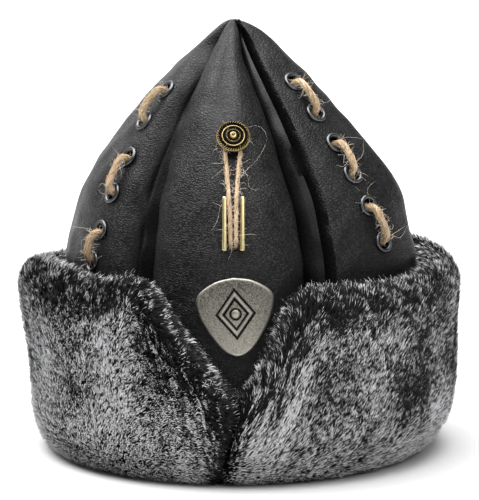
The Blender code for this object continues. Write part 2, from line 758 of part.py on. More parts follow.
def cuff_height(share):
    """The height of the cuff's top edge in a column."""
    turns = [edge.turn for edge in CUFF_TOP]
    heights = [edge.height for edge in CUFF_TOP]
    degrees = CUFF_TOP[0].turn + share * (CUFF_TOP[-1].turn - CUFF_TOP[0].turn)
    return float(np.interp(degrees, turns, heights)) * MM


def cuff_outer(share, height):
    """How far the fur's outer face stands off the rim's oval in a column, at a height."""
    heights = [flare.height * MM for flare in CUFF_OUTER]
    right_share = (1 + math.sin(2 * math.pi * share)) / 2
    outs = [(flare.left + (flare.right - flare.left) * right_share) * MM for flare in CUFF_OUTER]
    return float(np.interp(height, heights, outs))


def facing_out(height):
    return FACING_FOOT + FACING_FLARE * height


def cuff_section(share, column):
    """The cuff's closed section in one column, as distance out and height: lip, locks, foot and inner face."""
    top = cuff_height(share)
    lip = top - LIP_HEIGHT
    inner = facing_out(lip) - LIP_OVERHANG
    behind_facing = FACING + FIT_GAP
    middle = inner + 0.45 * (cuff_outer(share, top) - inner)
    from_seam = min(share, 1 - share) * math.pi * RIM_DEPTH
    groove = SEAM_GROOVE * (1 - math.sqrt(1 - max(0.0, 1 - from_seam / SEAM_GROOVE_WIDTH) ** 2))
    loop = [
        (facing_out(0.0) + behind_facing, 0.0),
        (facing_out(lip) + behind_facing, lip),
        (inner, lip),
        (inner + 0.6 * MM, top - 3.5 * MM),
        (0.55 * inner + 0.45 * middle, top - 0.8 * MM),
        (middle, top),
    ]
    face_height = top - CUFF_TOP_ROUND * 0.25
    foot = CUFF_FOOT_ROUND * 0.35
    for row in range(LOCK_ROWS):
        for step in LOCK_STEPS:
            fall = (row + step) / LOCK_ROWS
            height = face_height - fall * (face_height - foot)
            ridge = (column + row) % 2 == 1
            lift = LOCK_DEPTH * step**0.7 * (1.0 if ridge else LOCK_VALLEY)
            if ridge and step == 1.0:
                height -= min(LOCK_TIP_DROP, 0.1 * top)
            above = max(0.0, 1 - (top - height) / CUFF_TOP_ROUND)
            body = cuff_outer(share, height)
            body -= (body - middle) * (1 - math.sqrt(1 - above**2)) + groove
            least = facing_out(height) + behind_facing + FUR_LEAST
            loop.append((max(body - LOCK_DEPTH, least) + lift, height))
    least = facing_out(0.0) + behind_facing + 0.8 * FUR_LEAST
    loop.append((max(cuff_outer(share, 0.0) - LOCK_DEPTH - groove, least), 0.0))
    return loop


def sweep_sections(name, sections, material, smooth_angle):
    """Joins closed sections of equal length, in order, and caps the two ends."""
    bm = bmesh.new()
    loops = [[bm.verts.new(p) for p in section] for section in sections]
    count = len(loops[0])
    for one, two in zip(loops, loops[1:]):
        for a in range(count):
            b = (a + 1) % count
            bm.faces.new([one[a], one[b], two[b], two[a]])
    bm.faces.new(loops[0])
    bm.faces.new(loops[-1])
    return add_object(name, finish_mesh(bm, name), material, smooth_angle)


def make_cuff(fur, leather):
    """The fur, from the front seam round to it again, and the leather facing behind it."""
    shares = [column / CUFF_COLUMNS for column in range(CUFF_COLUMNS + 1)]
    fur_sections, facing_sections = [], []
    for column, share in enumerate(shares):
        loop = cuff_section(share, column)
        fur_sections.append([rim_point(cuff_turn(share, z), out, z) for out, z in loop])
        top = cuff_height(share) - LIP_HEIGHT - LIP_GAP
        wall = [(facing_out(0.0), 0.0), (facing_out(top), top)]
        wall += [(out + FACING, z) for out, z in reversed(wall)]
        facing_sections.append([rim_point(cuff_turn(share, z), out, z) for out, z in wall])
    sweep_sections("fur_cuff", fur_sections, fur, 80.0)
    sweep_sections("cuff_facing", facing_sections, leather, 60.0)


def main():
    clear_scene()
    leather = make_material("black_leather", (0.018, 0.018, 0.019), 0.55)
    fur = make_material("frosted_fur", (0.16, 0.16, 0.165), 0.9)
    jute = make_material("jute", (0.42, 0.28, 0.15), 0.9)
    gunmetal = make_material("gunmetal", (0.16, 0.16, 0.17), 0.35, 1.0)
    bronze = make_material("antique_brass", (0.34, 0.27, 0.13), 0.4, 1.0)
    brass = make_material("brass", (0.55, 0.45, 0.2), 0.35, 1.0)
    silver = make_material("antique_silver", (0.36, 0.35, 0.32), 0.4, 1.0)
    for name in LOBES:
        make_gore(name, leather)
    make_cuff(fur, leather)
    for side in EYELETS:
        make_eyelets(side, gunmetal)
        make_lace(side, jute)
    make_button(bronze)
    make_toggle(brass)
    make_button_loop(jute)
    make_badge(silver)
    hat = bpy.data.objects.new("bork_hat", None)
    for thing in list(bpy.data.objects):
        if thing is not hat:
            thing.parent = hat
    bpy.context.scene.collection.objects.link(hat)
    hat.location = HAT_PLACE


main()
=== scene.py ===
"""Dresses the bork hat: grained leather gores, frosted fur, jute laces and antiqued metal fittings.

Everything is in metres. The hat stands on its rim, +Z is up and the notched front faces -Y.
"""

import math
from collections import namedtuple

import bpy
import numpy as np
from bpy.props import FloatProperty, FloatVectorProperty, IntProperty, PointerProperty
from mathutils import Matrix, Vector


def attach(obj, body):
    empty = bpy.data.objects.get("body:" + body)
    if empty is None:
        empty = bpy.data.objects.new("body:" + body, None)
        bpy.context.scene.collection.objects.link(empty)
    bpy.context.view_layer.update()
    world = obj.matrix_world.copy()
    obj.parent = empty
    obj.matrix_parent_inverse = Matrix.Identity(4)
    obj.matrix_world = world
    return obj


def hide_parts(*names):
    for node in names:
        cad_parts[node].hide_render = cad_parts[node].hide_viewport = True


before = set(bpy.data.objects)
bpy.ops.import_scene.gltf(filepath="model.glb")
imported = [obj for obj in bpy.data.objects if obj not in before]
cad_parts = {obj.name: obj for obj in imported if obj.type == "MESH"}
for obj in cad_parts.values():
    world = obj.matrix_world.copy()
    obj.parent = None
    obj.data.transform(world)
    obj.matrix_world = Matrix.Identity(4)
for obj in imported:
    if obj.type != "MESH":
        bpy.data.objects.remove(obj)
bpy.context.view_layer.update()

bl_info = {
    "name": "Bork hat",
    "version": (1, 0, 0),
    "blender": (4, 5, 0),
    "location": "View3D > Sidebar > Bork hat",
    "description": "Leather gores, fur cuff, laces and fittings of a bork hat",
    "category": "Add Mesh",
}

MM = 0.001
BODY = "root"
# The rim's centre is this far from the middle of the whole hat
HAT_PLACE = np.array([-0.12, -1.9, 0.0]) * MM

LEATHER = 2.0 * MM
FACING = 1.5 * MM
FIT_GAP = 0.4 * MM
SEAM_GAP = 0.4 * MM

# The crown at a few heights: half widths to the left, right, front and back, and where the seams run
RIM_WIDTH = 176.0 * MM
RIM_DEPTH = 201.0 * MM
Section = namedtuple("Section", "height left right front back seam_left seam_right seam_depth")
CROWN = [
    Section(0.0, 88.0, 88.0, 100.5, 100.5, -50.0, 50.0, 82.6),
    Section(30.0, 90.0, 90.0, 101.5, 101.5, -46.0, 47.0, 80.0),
    Section(60.0, 92.0, 92.0, 101.0, 101.0, -43.0, 44.5, 76.5),
    Section(85.0, 93.5, 93.5, 99.5, 99.5, -41.0, 42.5, 72.5),
    Section(104.0, 93.0, 93.0, 97.0, 97.0, -39.5, 41.5, 69.0),
    Section(123.5, 88.2, 88.8, 92.5, 92.5, -38.3, 38.0, 63.5),
    Section(136.2, 84.0, 86.1, 88.0, 88.0, -37.0, 35.0, 59.0),
    Section(145.8, 79.2, 80.3, 83.5, 83.5, -35.0, 31.5, 55.0),
    Section(162.0, 68.1, 67.6, 74.5, 74.5, -30.5, 25.5, 47.0),
    Section(178.0, 55.9, 53.3, 64.0, 64.0, -25.8, 19.0, 38.0),
    Section(194.0, 41.1, 39.0, 50.0, 50.0, -20.0, 11.5, 28.0),
    Section(209.5, 24.6, 23.1, 31.0, 31.0, -13.0, 4.5, 16.0),
    Section(219.0, 14.0, 12.5, 17.0, 17.0, -8.5, 1.0, 8.5),
    Section(223.4, 8.8, 7.0, 8.6, 8.6, -5.9, -0.8, 4.0),
]
PEAK = 225.0 * MM
SHOULDER = 91.0 * MM
# Over a gore's top row a cap closes toward its own corner at the peak, down to a small last row
GORE_TOP = 219.5 * MM
GORE_CAP = 5.7 * MM
PEAK_CORNER = 0.4 * MM
PEAK_CURVE = 1.7
CAP_ROWS = 10
CAP_END = 0.07
# How finely a gore is drawn: sections below and above the shoulder, columns of its face and of a turn,
# and how evenly the face's columns are spaced
ROWS_BELOW = 20
ROWS_ABOVE = 60
GORE_COLUMNS = 58
TURN_COLUMNS = 6
EVENNESS = 0.45
# Each gore's lobe: how flat its middle is, how steep its flanks are, how far its fold leans and the
# step at which it ends
Lobe = namedtuple("Lobe", "flatness steepness lean end")
LOBES = {
    "front": Lobe(2.3, 1.8, 0.0, 0.87),
    "right": Lobe(1.6, 1.6, -14.0, 0.82),
    "back": Lobe(2.3, 1.8, 0.0, 0.87),
    "left": Lobe(1.75, 1.6, 12.0, 0.82),
}
# Up to this height the sections ease out of the rim's oval
RIM_EASE = 55.0 * MM
# How deep a gore's edge turns in, less near the rim and close to the hat's middle
SEAM_TURN = 7.0 * MM
SEAM_TURN_AT_RIM = 2.5 * MM
SEAM_TURN_FULL_AT = 60.0 * MM
SEAM_TURN_ENDS_AT = 3.0 * MM
# How deep the seams' folds are, and how wide and how open at each gore's left and right edge
SEAM_SINK = 7.5 * MM
SEAM_SINK_WIDTHS = (2.2 * MM, 9.0 * MM)
SEAM_OPEN = (0.4 * MM, 1.7 * MM)
# The folds are gone where a gore is this narrow, and at full depth where it is so much wider
SEAM_SINK_FROM = 8.0 * MM
SEAM_SINK_OVER = 24.0 * MM
# The dimple under the peak, in the front gore
DIMPLE_DEPTH = 2.6 * MM
DIMPLE_HEIGHT = 198.0 * MM
DIMPLE_REACH = 18.0 * MM
DIMPLE_WIDTH = 0.3
# This near its middle, at the tip, a gore's wall thins sideways. Soft puckers lift it elsewhere
TIP_FADE = 34.0 * MM
PUCKER_DEPTH = 0.28 * MM
PUCKER_WIDTH = 17 * MM
PUCKER_FADE = 20 * MM

# The cuff: its top edge round the hat, in degrees from the front toward +X
Edge = namedtuple("Edge", "turn height")
CUFF_TOP = [
    Edge(4.2, 42.0),
    Edge(8.7, 51.0),
    Edge(13.8, 63.0),
    Edge(17.0, 75.0),
    Edge(19.5, 87.0),
    Edge(23.0, 96.0),
    Edge(28.0, 99.5),
    Edge(50.0, 97.5),
    Edge(72.0, 97.0),
    Edge(92.0, 100.0),
    Edge(112.0, 102.0),
    Edge(135.0, 103.0),
    Edge(180.0, 100.0),
    Edge(215.0, 96.0),
    Edge(245.0, 94.5),
    Edge(262.0, 96.0),
    Edge(280.0, 99.5),
    Edge(300.0, 103.5),
    Edge(314.0, 103.5),
    Edge(323.0, 100.5),
    Edge(330.0, 99.8),
    Edge(337.0, 103.2),
    Edge(341.5, 102.3),
    Edge(344.0, 98.0),
    Edge(347.3, 87.5),
    Edge(351.6, 76.5),
    Edge(356.0, 65.0),
    Edge(360.3, 52.0),
    Edge(364.2, 42.0),
]
# Its corners are rounded over this many degrees to each side
CUFF_TOP_BLUR = 1.6
# How far the fur's outer face stands off the rim's oval on each side, by height
Flare = namedtuple("Flare", "height left right")
CUFF_OUTER = [
    Flare(0.0, 8.0, 7.5),
    Flare(2.5, 11.5, 10.5),
    Flare(9.0, 17.5, 17.0),
    Flare(15.0, 20.3, 22.0),
    Flare(22.0, 22.0, 25.0),
    Flare(34.0, 22.6, 27.0),
    Flare(50.0, 23.8, 27.8),
    Flare(66.0, 26.4, 27.6),
    Flare(82.0, 28.6, 28.4),
    Flare(105.0, 29.2, 28.8),
]
# The facing stands off the rim's oval by a foot and a flare, and the fur laps over its lip
FACING_FOOT = 0.5 * MM
FACING_FLARE = 0.105
LIP_HEIGHT = 9.0 * MM
LIP_OVERHANG = 1.6 * MM
LIP_GAP = 1.3 * MM
CUFF_TOP_ROUND = 15.0 * MM
CUFF_TOP_MIDDLE = 0.45
FUR_LEAST = 2.5 * MM
# The front seam leans: its angle in degrees at the foot and at its top, and how far round it reaches
SEAM_LEAN_LOW = -1.9
SEAM_LEAN_HIGH = 4.2
SEAM_LEAN_TOP = 44.0 * MM
SEAM_LEAN_REACH = 14.0
SEAM_GROOVE = 5.0 * MM
SEAM_GROOVE_WIDTH = 9.0 * MM
# The way round the middle of the cuff
CUFF_ROUND = math.pi * (RIM_WIDTH + RIM_DEPTH + 90 * MM) / 2
# How finely the cuff is drawn: its columns, and the points up its back, over a round and down its face
CUFF_COLUMNS = 380
BACK_POINTS = 4
ROUND_POINTS = 9
FACE_POINTS = 40
FACING_COLUMNS = 300
FACING_ROWS = 10
# Where a strand's points lie along it, and how much higher than wide a tuft is
PILE_AT = np.array([0.12, 0.6, 1.0])
TUFT_STRETCH = 1.9
PILE_PARTS = 4

# Eyelets, by the gore's height and how far across it they lie, from the fold (0) to the front seam (1)
Hole = namedtuple("Hole", "height across")
EYELETS = {
    "right": [
        Hole(194.0, 0.49),
        Hole(178.6, 0.485),
        Hole(163.8, 0.495),
        Hole(148.6, 0.51),
        Hole(132.8, 0.50),
        Hole(114.0, 0.44),
    ],
    "left": [
        Hole(189.4, 0.515),
        Hole(173.6, 0.51),
        Hole(155.8, 0.565),
        Hole(137.6, 0.57),
        Hole(118.6, 0.545),
        Hole(102.6, 0.52),
    ],
}
TOWARD_FRONT = {"left": 1.0, "right": -1.0}
EYELET_HOLE = 4.55 * MM
# A turned profile: radius, and how far out of the leather's face
Turn = namedtuple("Turn", "radius out")
EYELET_PROFILE = [
    Turn(3.55, -4.0),
    Turn(5.2, -4.0),
    Turn(5.3, -3.75),
    Turn(5.2, -3.5),
    Turn(4.0, -3.45),
    Turn(3.95, -2.5),
    Turn(3.95, 0.25),
    Turn(4.6, 0.3),
    Turn(5.45, 0.3),
    Turn(5.68, 0.42),
    Turn(5.7, 0.66),
    Turn(5.5, 1.0),
    Turn(5.15, 1.28),
    Turn(4.75, 1.4),
    Turn(4.3, 1.36),
    Turn(3.9, 1.16),
    Turn(3.62, 0.82),
    Turn(3.52, 0.35),
    Turn(3.5, -1.5),
]

LACE_OUTSIDE = [Turn(0.9, -1.2), Turn(1.0, 0.9), Turn(2.0, 3.1), Turn(4.2, 4.3)]
LACE_INSIDE = [Turn(0.7, -3.6), Turn(1.1, -5.4), Turn(3.4, -7.4)]
LACE_TAIL = [Turn(0.7, -4.5), Turn(0.7, -9.75), Turn(0.7, -15.0)]
LACE_ARCH = 5.0 * MM
LACE_INSIDE_DEPTH = 8.0 * MM
# A fibre's points, and its thickness at each
FIBRE_TAPER = np.array([0.55, 0.95, 1.0, 1.0, 0.95, 0.7, 0.35])
FIBRE_ROWS = len(FIBRE_TAPER)
# Loose fibres: their mean length, and the ends of its range
STRAY_LENGTH = 3.4 * MM
STRAY_SHORTEST = 0.8 * MM
STRAY_LONGEST = 19 * MM

BUTTON_PLACE = (1.6 * MM, 168.5 * MM)
BUTTON_SHANK = [
    Turn(8.6, 4.0),
    Turn(8.25, 3.5),
    Turn(7.4, 3.4),
    Turn(2.2, 3.4),
    Turn(2.0, 3.2),
    Turn(2.0, -3.4),
    Turn(4.4, -3.4),
    Turn(4.5, -3.6),
    Turn(4.5, -4.4),
    Turn(4.3, -4.6),
    Turn(0.0, -4.6),
]
BUTTON_RINGS = [
    Turn(0.0, 5.9),
    Turn(0.45, 5.95),
    Turn(0.75, 6.3),
    Turn(1.2, 6.6),
    Turn(1.65, 6.4),
    Turn(1.95, 5.5),
    Turn(2.3, 5.15),
    Turn(2.7, 5.2),
    Turn(3.1, 5.5),
    Turn(3.5, 5.55),
    Turn(3.9, 5.2),
    Turn(4.3, 4.75),
    Turn(4.8, 4.72),
    Turn(5.2, 5.15),
    Turn(5.6, 5.35),
    Turn(6.0, 5.1),
    Turn(6.35, 4.6),
    Turn(6.7, 4.55),
    Turn(7.15, 4.85),
    Turn(7.7, 5.15),
    Turn(8.2, 5.05),
    Turn(8.55, 4.55),
    Turn(8.6, 4.0),
]
BUTTON_SIDES = 264
# The button's two patterned rings: how far out they lie, in millimetres, and what they count
ROPE_RADIUS = 7.75
ROPE_TWISTS = 40
BEADS_RADIUS = 3.3
BEADS = 30
# Below these heights the patina fills the button's hollows
BUTTON_HOLLOWS = [
    Turn(0.0, 5.9),
    Turn(2.3, 5.3),
    Turn(3.3, 5.36),
    Turn(4.5, 5.0),
    Turn(5.6, 5.06),
    Turn(6.5, 4.9),
    Turn(7.0, 5.0),
    Turn(8.1, 4.94),
    Turn(8.4, 4.3),
    Turn(8.6, 3.8),
]

TOGGLE_PLACE = (3.4 * MM, 128.5 * MM)
BAR_RADIUS = 1.3 * MM
BAR_LENGTH = 27.5 * MM
BAR_SPACING = 8.9 * MM
BAR_ROUNDING = 0.5 * MM
CROSS_RADIUS = 0.6 * MM
CROSS_OUT = 1.15 * MM
CROSS_ABOVE_MIDDLE = 3.0 * MM
BAR_CLEARANCE = 0.5 * MM

CORD_HOLE = (3.5 * MM, 118.3 * MM)
CORD_HOLE_RADIUS = 3.0 * MM
# The loop's two strands: the middle between them and how far each lies from it, by height
Strand = namedtuple("Strand", "centre aside height out")
BUTTON_LOOP = [
    Strand(3.5, 1.9, 117.2, -8.0),
    Strand(3.5, 1.7, 117.6, -4.0),
    Strand(3.5, 1.4, 118.2, -1.0),
    Strand(3.5, 1.35, 119.8, 1.4),
    Strand(3.4, 1.35, 122.8, 2.4),
    Strand(3.3, 1.35, 127.0, 2.9),
    Strand(3.2, 1.35, 131.5, 3.4),
    Strand(2.8, 1.6, 137.0, 3.7),
    Strand(2.5, 1.85, 142.0, 4.3),
    Strand(2.3, 2.3, 147.5, 2.9),
    Strand(2.0, 2.9, 154.5, 1.9),
    Strand(1.6, 3.6, 162.0, 1.8),
    Strand(1.6, 3.7, 167.5, 1.8),
    Strand(1.6, 2.8, 171.0, 1.8),
    Strand(1.6, 0.0, 172.6, 1.8),
]

# Places along the longest loose fibres of the loop: across, height and out of the leather
LOOP_HAIRS = [
    [
        (5.5, 172.5, 2.5),
        (11.5, 173.5, 3.5),
        (15.0, 170.0, 4.0),
        (16.0, 165.0, 3.5),
        (12.5, 157.5, 2.5),
        (7.0, 152.5, 1.5),
    ],
    [
        (6.0, 155.0, 2.0),
        (9.0, 150.5, 3.0),
        (10.0, 145.5, 2.5),
        (13.5, 144.0, 2.0),
        (15.5, 145.0, 1.0),
    ],
    [
        (0.5, 140.5, 2.5),
        (-3.0, 136.5, 3.0),
        (-4.0, 131.0, 2.5),
        (-6.5, 126.5, 1.5),
        (-8.0, 125.0, 0.8),
    ],
    [
        (3.0, 117.5, 2.0),
        (2.5, 114.5, 2.5),
        (1.0, 111.5, 1.0),
    ],
]

BADGE_PLACE = (5.2 * MM, 83.5 * MM)
BADGE_TURN = math.radians(4.0)
BADGE_EDGE = 1.3 * MM
BADGE_RISE = 0.9 * MM
# The share of the plate that its rounded edge takes
BADGE_RIM = 0.07
BADGE_BEND_RADIUS = 72.0 * MM
BADGE_CLEARANCE = 0.8 * MM
# The right half of the badge's outline, from the top to the foot
Outline = namedtuple("Outline", "across up")
BADGE_HALF = [
    Outline(0.0, 19.6),
    Outline(8.5, 18.0),
    Outline(15.6, 14.2),
    Outline(18.9, 10.6),
    Outline(19.2, 6.2),
    Outline(16.9, -1.8),
    Outline(10.5, -12.4),
    Outline(5.2, -17.8),
    Outline(0.0, -19.6),
]
LOZENGE_HALF_WIDTH = 9.0 * MM
LOZENGE_HALF_HEIGHT = 11.5 * MM
LOZENGE_CENTRE = 1.5 * MM
LOZENGE_RISE = 0.85 * MM
LOZENGE_GROOVE = 0.12 * MM
BOSS_RADIUS = 2.2 * MM
POST_RADIUS = 1.1 * MM
POST_LENGTH = 5.0 * MM


def linear(code):
    """An sRGB hex colour as linear red, green and blue."""
    parts = np.array([int(code[i : i + 2], 16) for i in (1, 3, 5)]) / 255
    return tuple(np.where(parts <= 0.04045, parts / 12.92, ((parts + 0.055) / 1.055) ** 2.4).tolist())


def colour_prop(name, about, code):
    """A colour that the panel shows, given as sRGB."""
    return FloatVectorProperty(
        name=name, description=about, default=linear(code), subtype="COLOR", min=0.0, max=1.0
    )


def float_prop(name, about, value, **kind):
    """A number that the panel shows."""
    return FloatProperty(name=name, description=about, default=value, **kind)


def length_prop(name, about, millimetres):
    """A length that the panel shows, given in millimetres."""
    return float_prop(name, about, millimetres * MM, min=0.0, subtype="DISTANCE", unit="LENGTH")


def angle_prop(name, about, degrees):
    """An angle that the panel shows, given in degrees."""
    return float_prop(name, about, math.radians(degrees), subtype="ANGLE", unit="ROTATION")


def light_prop(name, about, strength):
    """A light's strength that the panel shows."""
    return float_prop(name, about, strength, min=0.0)


def count_prop(name, about, count, least=1):
    """A number of pieces that the panel shows."""
    return IntProperty(name=name, description=about, default=count, min=least)


class LeatherSettings(bpy.types.PropertyGroup):
    """The crown's and the facing's leather."""

    colour: colour_prop("Leather", "Dyed black leather on the raised grain", "#1b1b1c")
    # Painted shade: this darker colour fills the grain's creases and the seams' folds.
    crease_shade: colour_prop("Creases", "Leather in the creases of its grain", "#080809")
    grain: length_prop("Grain", "Width of one pebble of the grain", 2.0)
    relief: length_prop("Relief", "Depth of the grain's creases", 0.15)


class FurSettings(bpy.types.PropertyGroup):
    """The cuff's fur."""

    root: colour_prop("Roots", "Underwool and the roots of the strands", "#131314")
    tip: colour_prop("Tips", "Frosted tips of the strands", "#dededf")
    depth: length_prop("Pile", "Depth of the pile over the pelt", 3.4)
    length: length_prop("Strand length", "Length of a full strand", 7.4)
    width: length_prop("Strand width", "Width of a strand, drawn as a small tuft", 0.5)
    clump: length_prop("Clump", "Width of the tufts that the strands gather in", 2.5)
    strands: count_prop("Strands", "Strands on the whole cuff", 160000, 1000)


class CordSettings(bpy.types.PropertyGroup):
    """The jute laces and the button's loop."""

    colour: colour_prop("Jute", "Jute on the outside of the twist", "#e0c6a4")
    # Painted shade: the twist's grooves take this darker colour.
    shade: colour_prop("Jute shade", "Jute in the grooves of the twist", "#7d6243")
    loose: colour_prop("Loose fibres", "Bleached fibres that stand off the cords", "#e6ddd0")
    lace: length_prop("Lace radius", "Half the thickness of a lace", 1.6)
    loop: length_prop("Loop radius", "Half the thickness of the loop's cord", 0.84)
    pitch: length_prop("Twist", "Length of one full turn of the twist in a lace", 26.0)
    fibres: count_prop("Fibres", "Fibres that lie along each lace", 1400)
    strays: count_prop("Strays", "Fibres that stand off each lace", 640)


class MetalSettings(bpy.types.PropertyGroup):
    """The eyelets, button, toggle and badge."""

    gunmetal: colour_prop("Gunmetal", "Dark plating of the eyelets", "#5c5d60")
    bronze: colour_prop("Antique brass", "Rubbed high spots of the button", "#a89668")
    brass: colour_prop("Brass", "Pale brass of the toggle", "#ecdda6")
    silver: colour_prop("Antique silver", "Rubbed high spots of the badge", "#b3afa4")
    # This colour is patina in the recesses, and also painted shade on the toggle's bars and the badge's
    # top.
    tarnish_and_shade: colour_prop("Tarnish", "Dark patina left in the recesses", "#151310")


class StageSettings(bpy.types.PropertyGroup):
    """The floor, the lights and the camera."""

    floor: colour_prop("Floor", "Pale studio floor", "#cfcfcf")
    distance: length_prop("Distance", "From the camera to the hat", 1500.0)
    elevation: angle_prop("Elevation", "How far the camera looks down", 8.0)
    turn: angle_prop("Turn", "How far the camera stands toward +X from the front", 4.0)
    aim: length_prop("Aim height", "Height that the camera looks at", 103.0)
    overhead: light_prop("Overhead light", "Strength of the softbox overhead", 6.3)
    key: light_prop("Key light", "Strength of the softbox at the upper left", 1.6)
    fill: light_prop("Fill light", "Strength of the softbox at the front right", 1.1)
    backdrop: light_prop("Backdrop", "Strength of the white backdrop behind the hat", 1.0)
    air: light_prop("Room light", "Even light from all round", 0.12)


class HatSettings(bpy.types.PropertyGroup):
    """Everything that a user of the hat may change."""

    leather: PointerProperty(type=LeatherSettings)
    fur: PointerProperty(type=FurSettings)
    cord: PointerProperty(type=CordSettings)
    metal: PointerProperty(type=MetalSettings)
    stage: PointerProperty(type=StageSettings)


# Meshes


def add_mesh(name, points, faces, material, smooth_angle=None):
    """A mesh object from its points and a list of face arrays, one for each number of corners."""
    mesh = bpy.data.meshes.new(name)
    corners = np.concatenate([f.ravel() for f in faces])
    sizes = np.concatenate([np.full(len(f), f.shape[1]) for f in faces])
    starts = np.concatenate([[0], np.cumsum(sizes)[:-1]])
    mesh.vertices.add(len(points))
    mesh.vertices.foreach_set("co", (points + HAT_PLACE).astype(np.float32).ravel())
    mesh.loops.add(len(corners))
    mesh.loops.foreach_set("vertex_index", corners.astype(np.int32))
    mesh.polygons.add(len(sizes))
    mesh.polygons.foreach_set("loop_start", starts.astype(np.int32))
    mesh.update(calc_edges=True)
    if mesh.validate():
        raise RuntimeError(f"{name} has faces that Blender had to mend")
    mesh.shade_smooth()
    if smooth_angle is not None:
        mesh.set_sharp_from_angle(angle=math.radians(smooth_angle))
    mesh.materials.append(material)
    return add_thing(name, mesh)


def add_thing(name, data):
    """An object in the scene that shows a mesh, a lamp or a camera."""
    thing = bpy.data.objects.new(name, data)
    bpy.context.scene.collection.objects.link(thing)
    return thing


def dress(thing, slot, *nodes):
    """The object rides on the hat and stands for the given solids. Its slot is not used."""
    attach(thing, BODY)
    if nodes:
        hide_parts(*nodes)


def set_relief(thing, values):
    """Stores how high each point stands: 0 in a recess, 1 on a crest, and up to 2 on a loose fibre."""
    layer = thing.data.attributes.new("relief", "FLOAT", "POINT")
    layer.data.foreach_set("value", np.clip(values, 0, 2).astype(np.float32).ravel())


def set_map(thing, name, places):
    """Stores a UV map, given for each point."""
    mesh = thing.data
    corner = np.empty(len(mesh.loops), np.int32)
    mesh.loops.foreach_get("vertex_index", corner)
    layer = mesh.uv_layers.new(name=name, do_init=False)
    layer.uv.foreach_set("vector", places[corner].astype(np.float32).ravel())


def unit(vectors):
    """Each vector at a length of one."""
    return vectors / np.linalg.norm(vectors, axis=-1, keepdims=True)


def bell(distance, width, power=2):
    """A bell: 1 at a distance of 0, and one over e at its width. A higher power has a flatter top."""
    return np.exp(-((distance / width) ** power))


def grid_quads(rows, columns, wrap=False):
    """A grid's quads, rows by columns by four. A wrapped one joins its last column to its first."""
    index = np.arange(rows * columns).reshape(rows, columns)
    if wrap:
        index = np.concatenate([index, index[:, :1]], axis=1)
    return np.stack([index[:-1, :-1], index[:-1, 1:], index[1:, 1:], index[1:, :-1]], axis=-1)


def tube_faces(rings, around, turned_over=False):
    """A closed tube of rings of points: its quads, and one face over each of its two ends."""
    quads = grid_quads(rings, around, wrap=True).reshape(-1, 4)
    ends = np.stack([np.arange(around)[::-1], (rings - 1) * around + np.arange(around)])
    return (quads[:, ::-1], ends[:, ::-1]) if turned_over else (quads, ends)


def shell(outer, inner, keep=None):
    """A closed wall between two like grids: the kept quads of each, and a strip along every open edge.

    Returns its points, its quads and which points of the two grids it kept.
    """
    rows, columns = outer.shape[:2]
    quads = grid_quads(rows, columns)
    quads = quads.reshape(-1, 4) if keep is None else quads[keep]
    count = rows * columns
    start, end = quads.ravel(), np.roll(quads, -1, axis=1).ravel()
    lonely = ~np.isin(end * count + start, start * count + end)
    start, end = start[lonely], end[lonely]
    strip = np.stack([end, start, start + count, end + count], axis=1)
    faces = np.concatenate([quads, quads[:, ::-1] + count, strip])
    used, faces = np.unique(faces, return_inverse=True)
    points = np.concatenate([outer.reshape(-1, 3), inner.reshape(-1, 3)])[used]
    return points, faces.reshape(-1, 4), used


def waves(points, size, seed, count=12):
    """Soft noise of about -1 to 1: a sum of plane waves in random ways, each about one size long."""
    rng = np.random.default_rng(seed)
    ways = unit(rng.normal(size=(count, points.shape[-1])))
    ways = ways * rng.uniform(0.7, 1.5, (count, 1)) / size
    phases = rng.uniform(0, 2 * math.pi, count)
    return np.sin(2 * math.pi * points @ ways.T + phases).sum(axis=-1) / math.sqrt(count / 1.2)


def smooth_columns(rows, heights):
    """A table's columns at the given heights, on cubic curves through its rows."""
    table = np.array(rows) * MM
    known, values = table[:, 0], table[:, 1:]
    slopes = np.gradient(values, known, axis=0)
    heights = np.asarray(heights, float)
    low = np.clip(np.searchsorted(known, heights, side="right") - 1, 0, len(known) - 2)
    span = (known[low + 1] - known[low])[..., None]
    t = (heights - known[low])[..., None] / span
    return (
        (2 * t**3 - 3 * t**2 + 1) * values[low]
        + (t**3 - 2 * t**2 + t) * span * slopes[low]
        + (3 * t**2 - 2 * t**3) * values[low + 1]
        + (t**3 - t**2) * span * slopes[low + 1]
    )


def smooth_path(points, spacing):
    """Points about one spacing apart on a Catmull-Rom curve through the given points."""
    points = np.array(points, float)
    ends = np.vstack([2 * points[0] - points[1], points, 2 * points[-1] - points[-2]])
    at = np.linspace(0, len(points) - 1, 40 * len(points))
    low = np.minimum(at.astype(int), len(points) - 2)
    t = (at - low)[:, None]
    a, b, c, d = (ends[low + k] for k in range(4))
    dense = 0.5 * (
        2 * b
        + (c - a) * t
        + (2 * a - 5 * b + 4 * c - d) * t**2
        + (3 * b - a - 3 * c + d) * t**3
    )
    along = distances(dense)
    return sample(along, dense, np.linspace(0, along[-1], max(2, round(along[-1] / spacing))))


def distances(points):
    """How far along a path each of its points lies."""
    steps = np.linalg.norm(np.diff(points, axis=0), axis=1)
    return np.concatenate([[0], np.cumsum(steps)])


def sample(along, values, place):
    """The rows of an array at any distances along its path."""
    return np.stack([np.interp(place, along, column) for column in values.T], axis=-1)


# Crown surface


def gore_frame(name, heights):
    """A gore's two seams and the top of its fold at each height, in the plane of the section."""
    left, right, front, back, seam_left, seam_right, depth = smooth_columns(CROWN, heights).T
    lean = LOBES[name].lean * MM * np.sin(math.pi * np.minimum(heights / PEAK, 1.0) ** 1.3)
    middle = (seam_left + seam_right) / 2
    front_left, front_right = np.stack([seam_left, -depth], -1), np.stack([seam_right, -depth], -1)
    back_right, back_left = np.stack([seam_right, depth], -1), np.stack([seam_left, depth], -1)
    return {
        "front": (front_left, front_right, np.stack([middle, -front], -1)),
        "right": (front_right, back_right, np.stack([right, lean], -1)),
        "back": (back_right, back_left, np.stack([middle, back], -1)),
        "left": (back_left, front_left, np.stack([-left, lean], -1)),
    }[name]


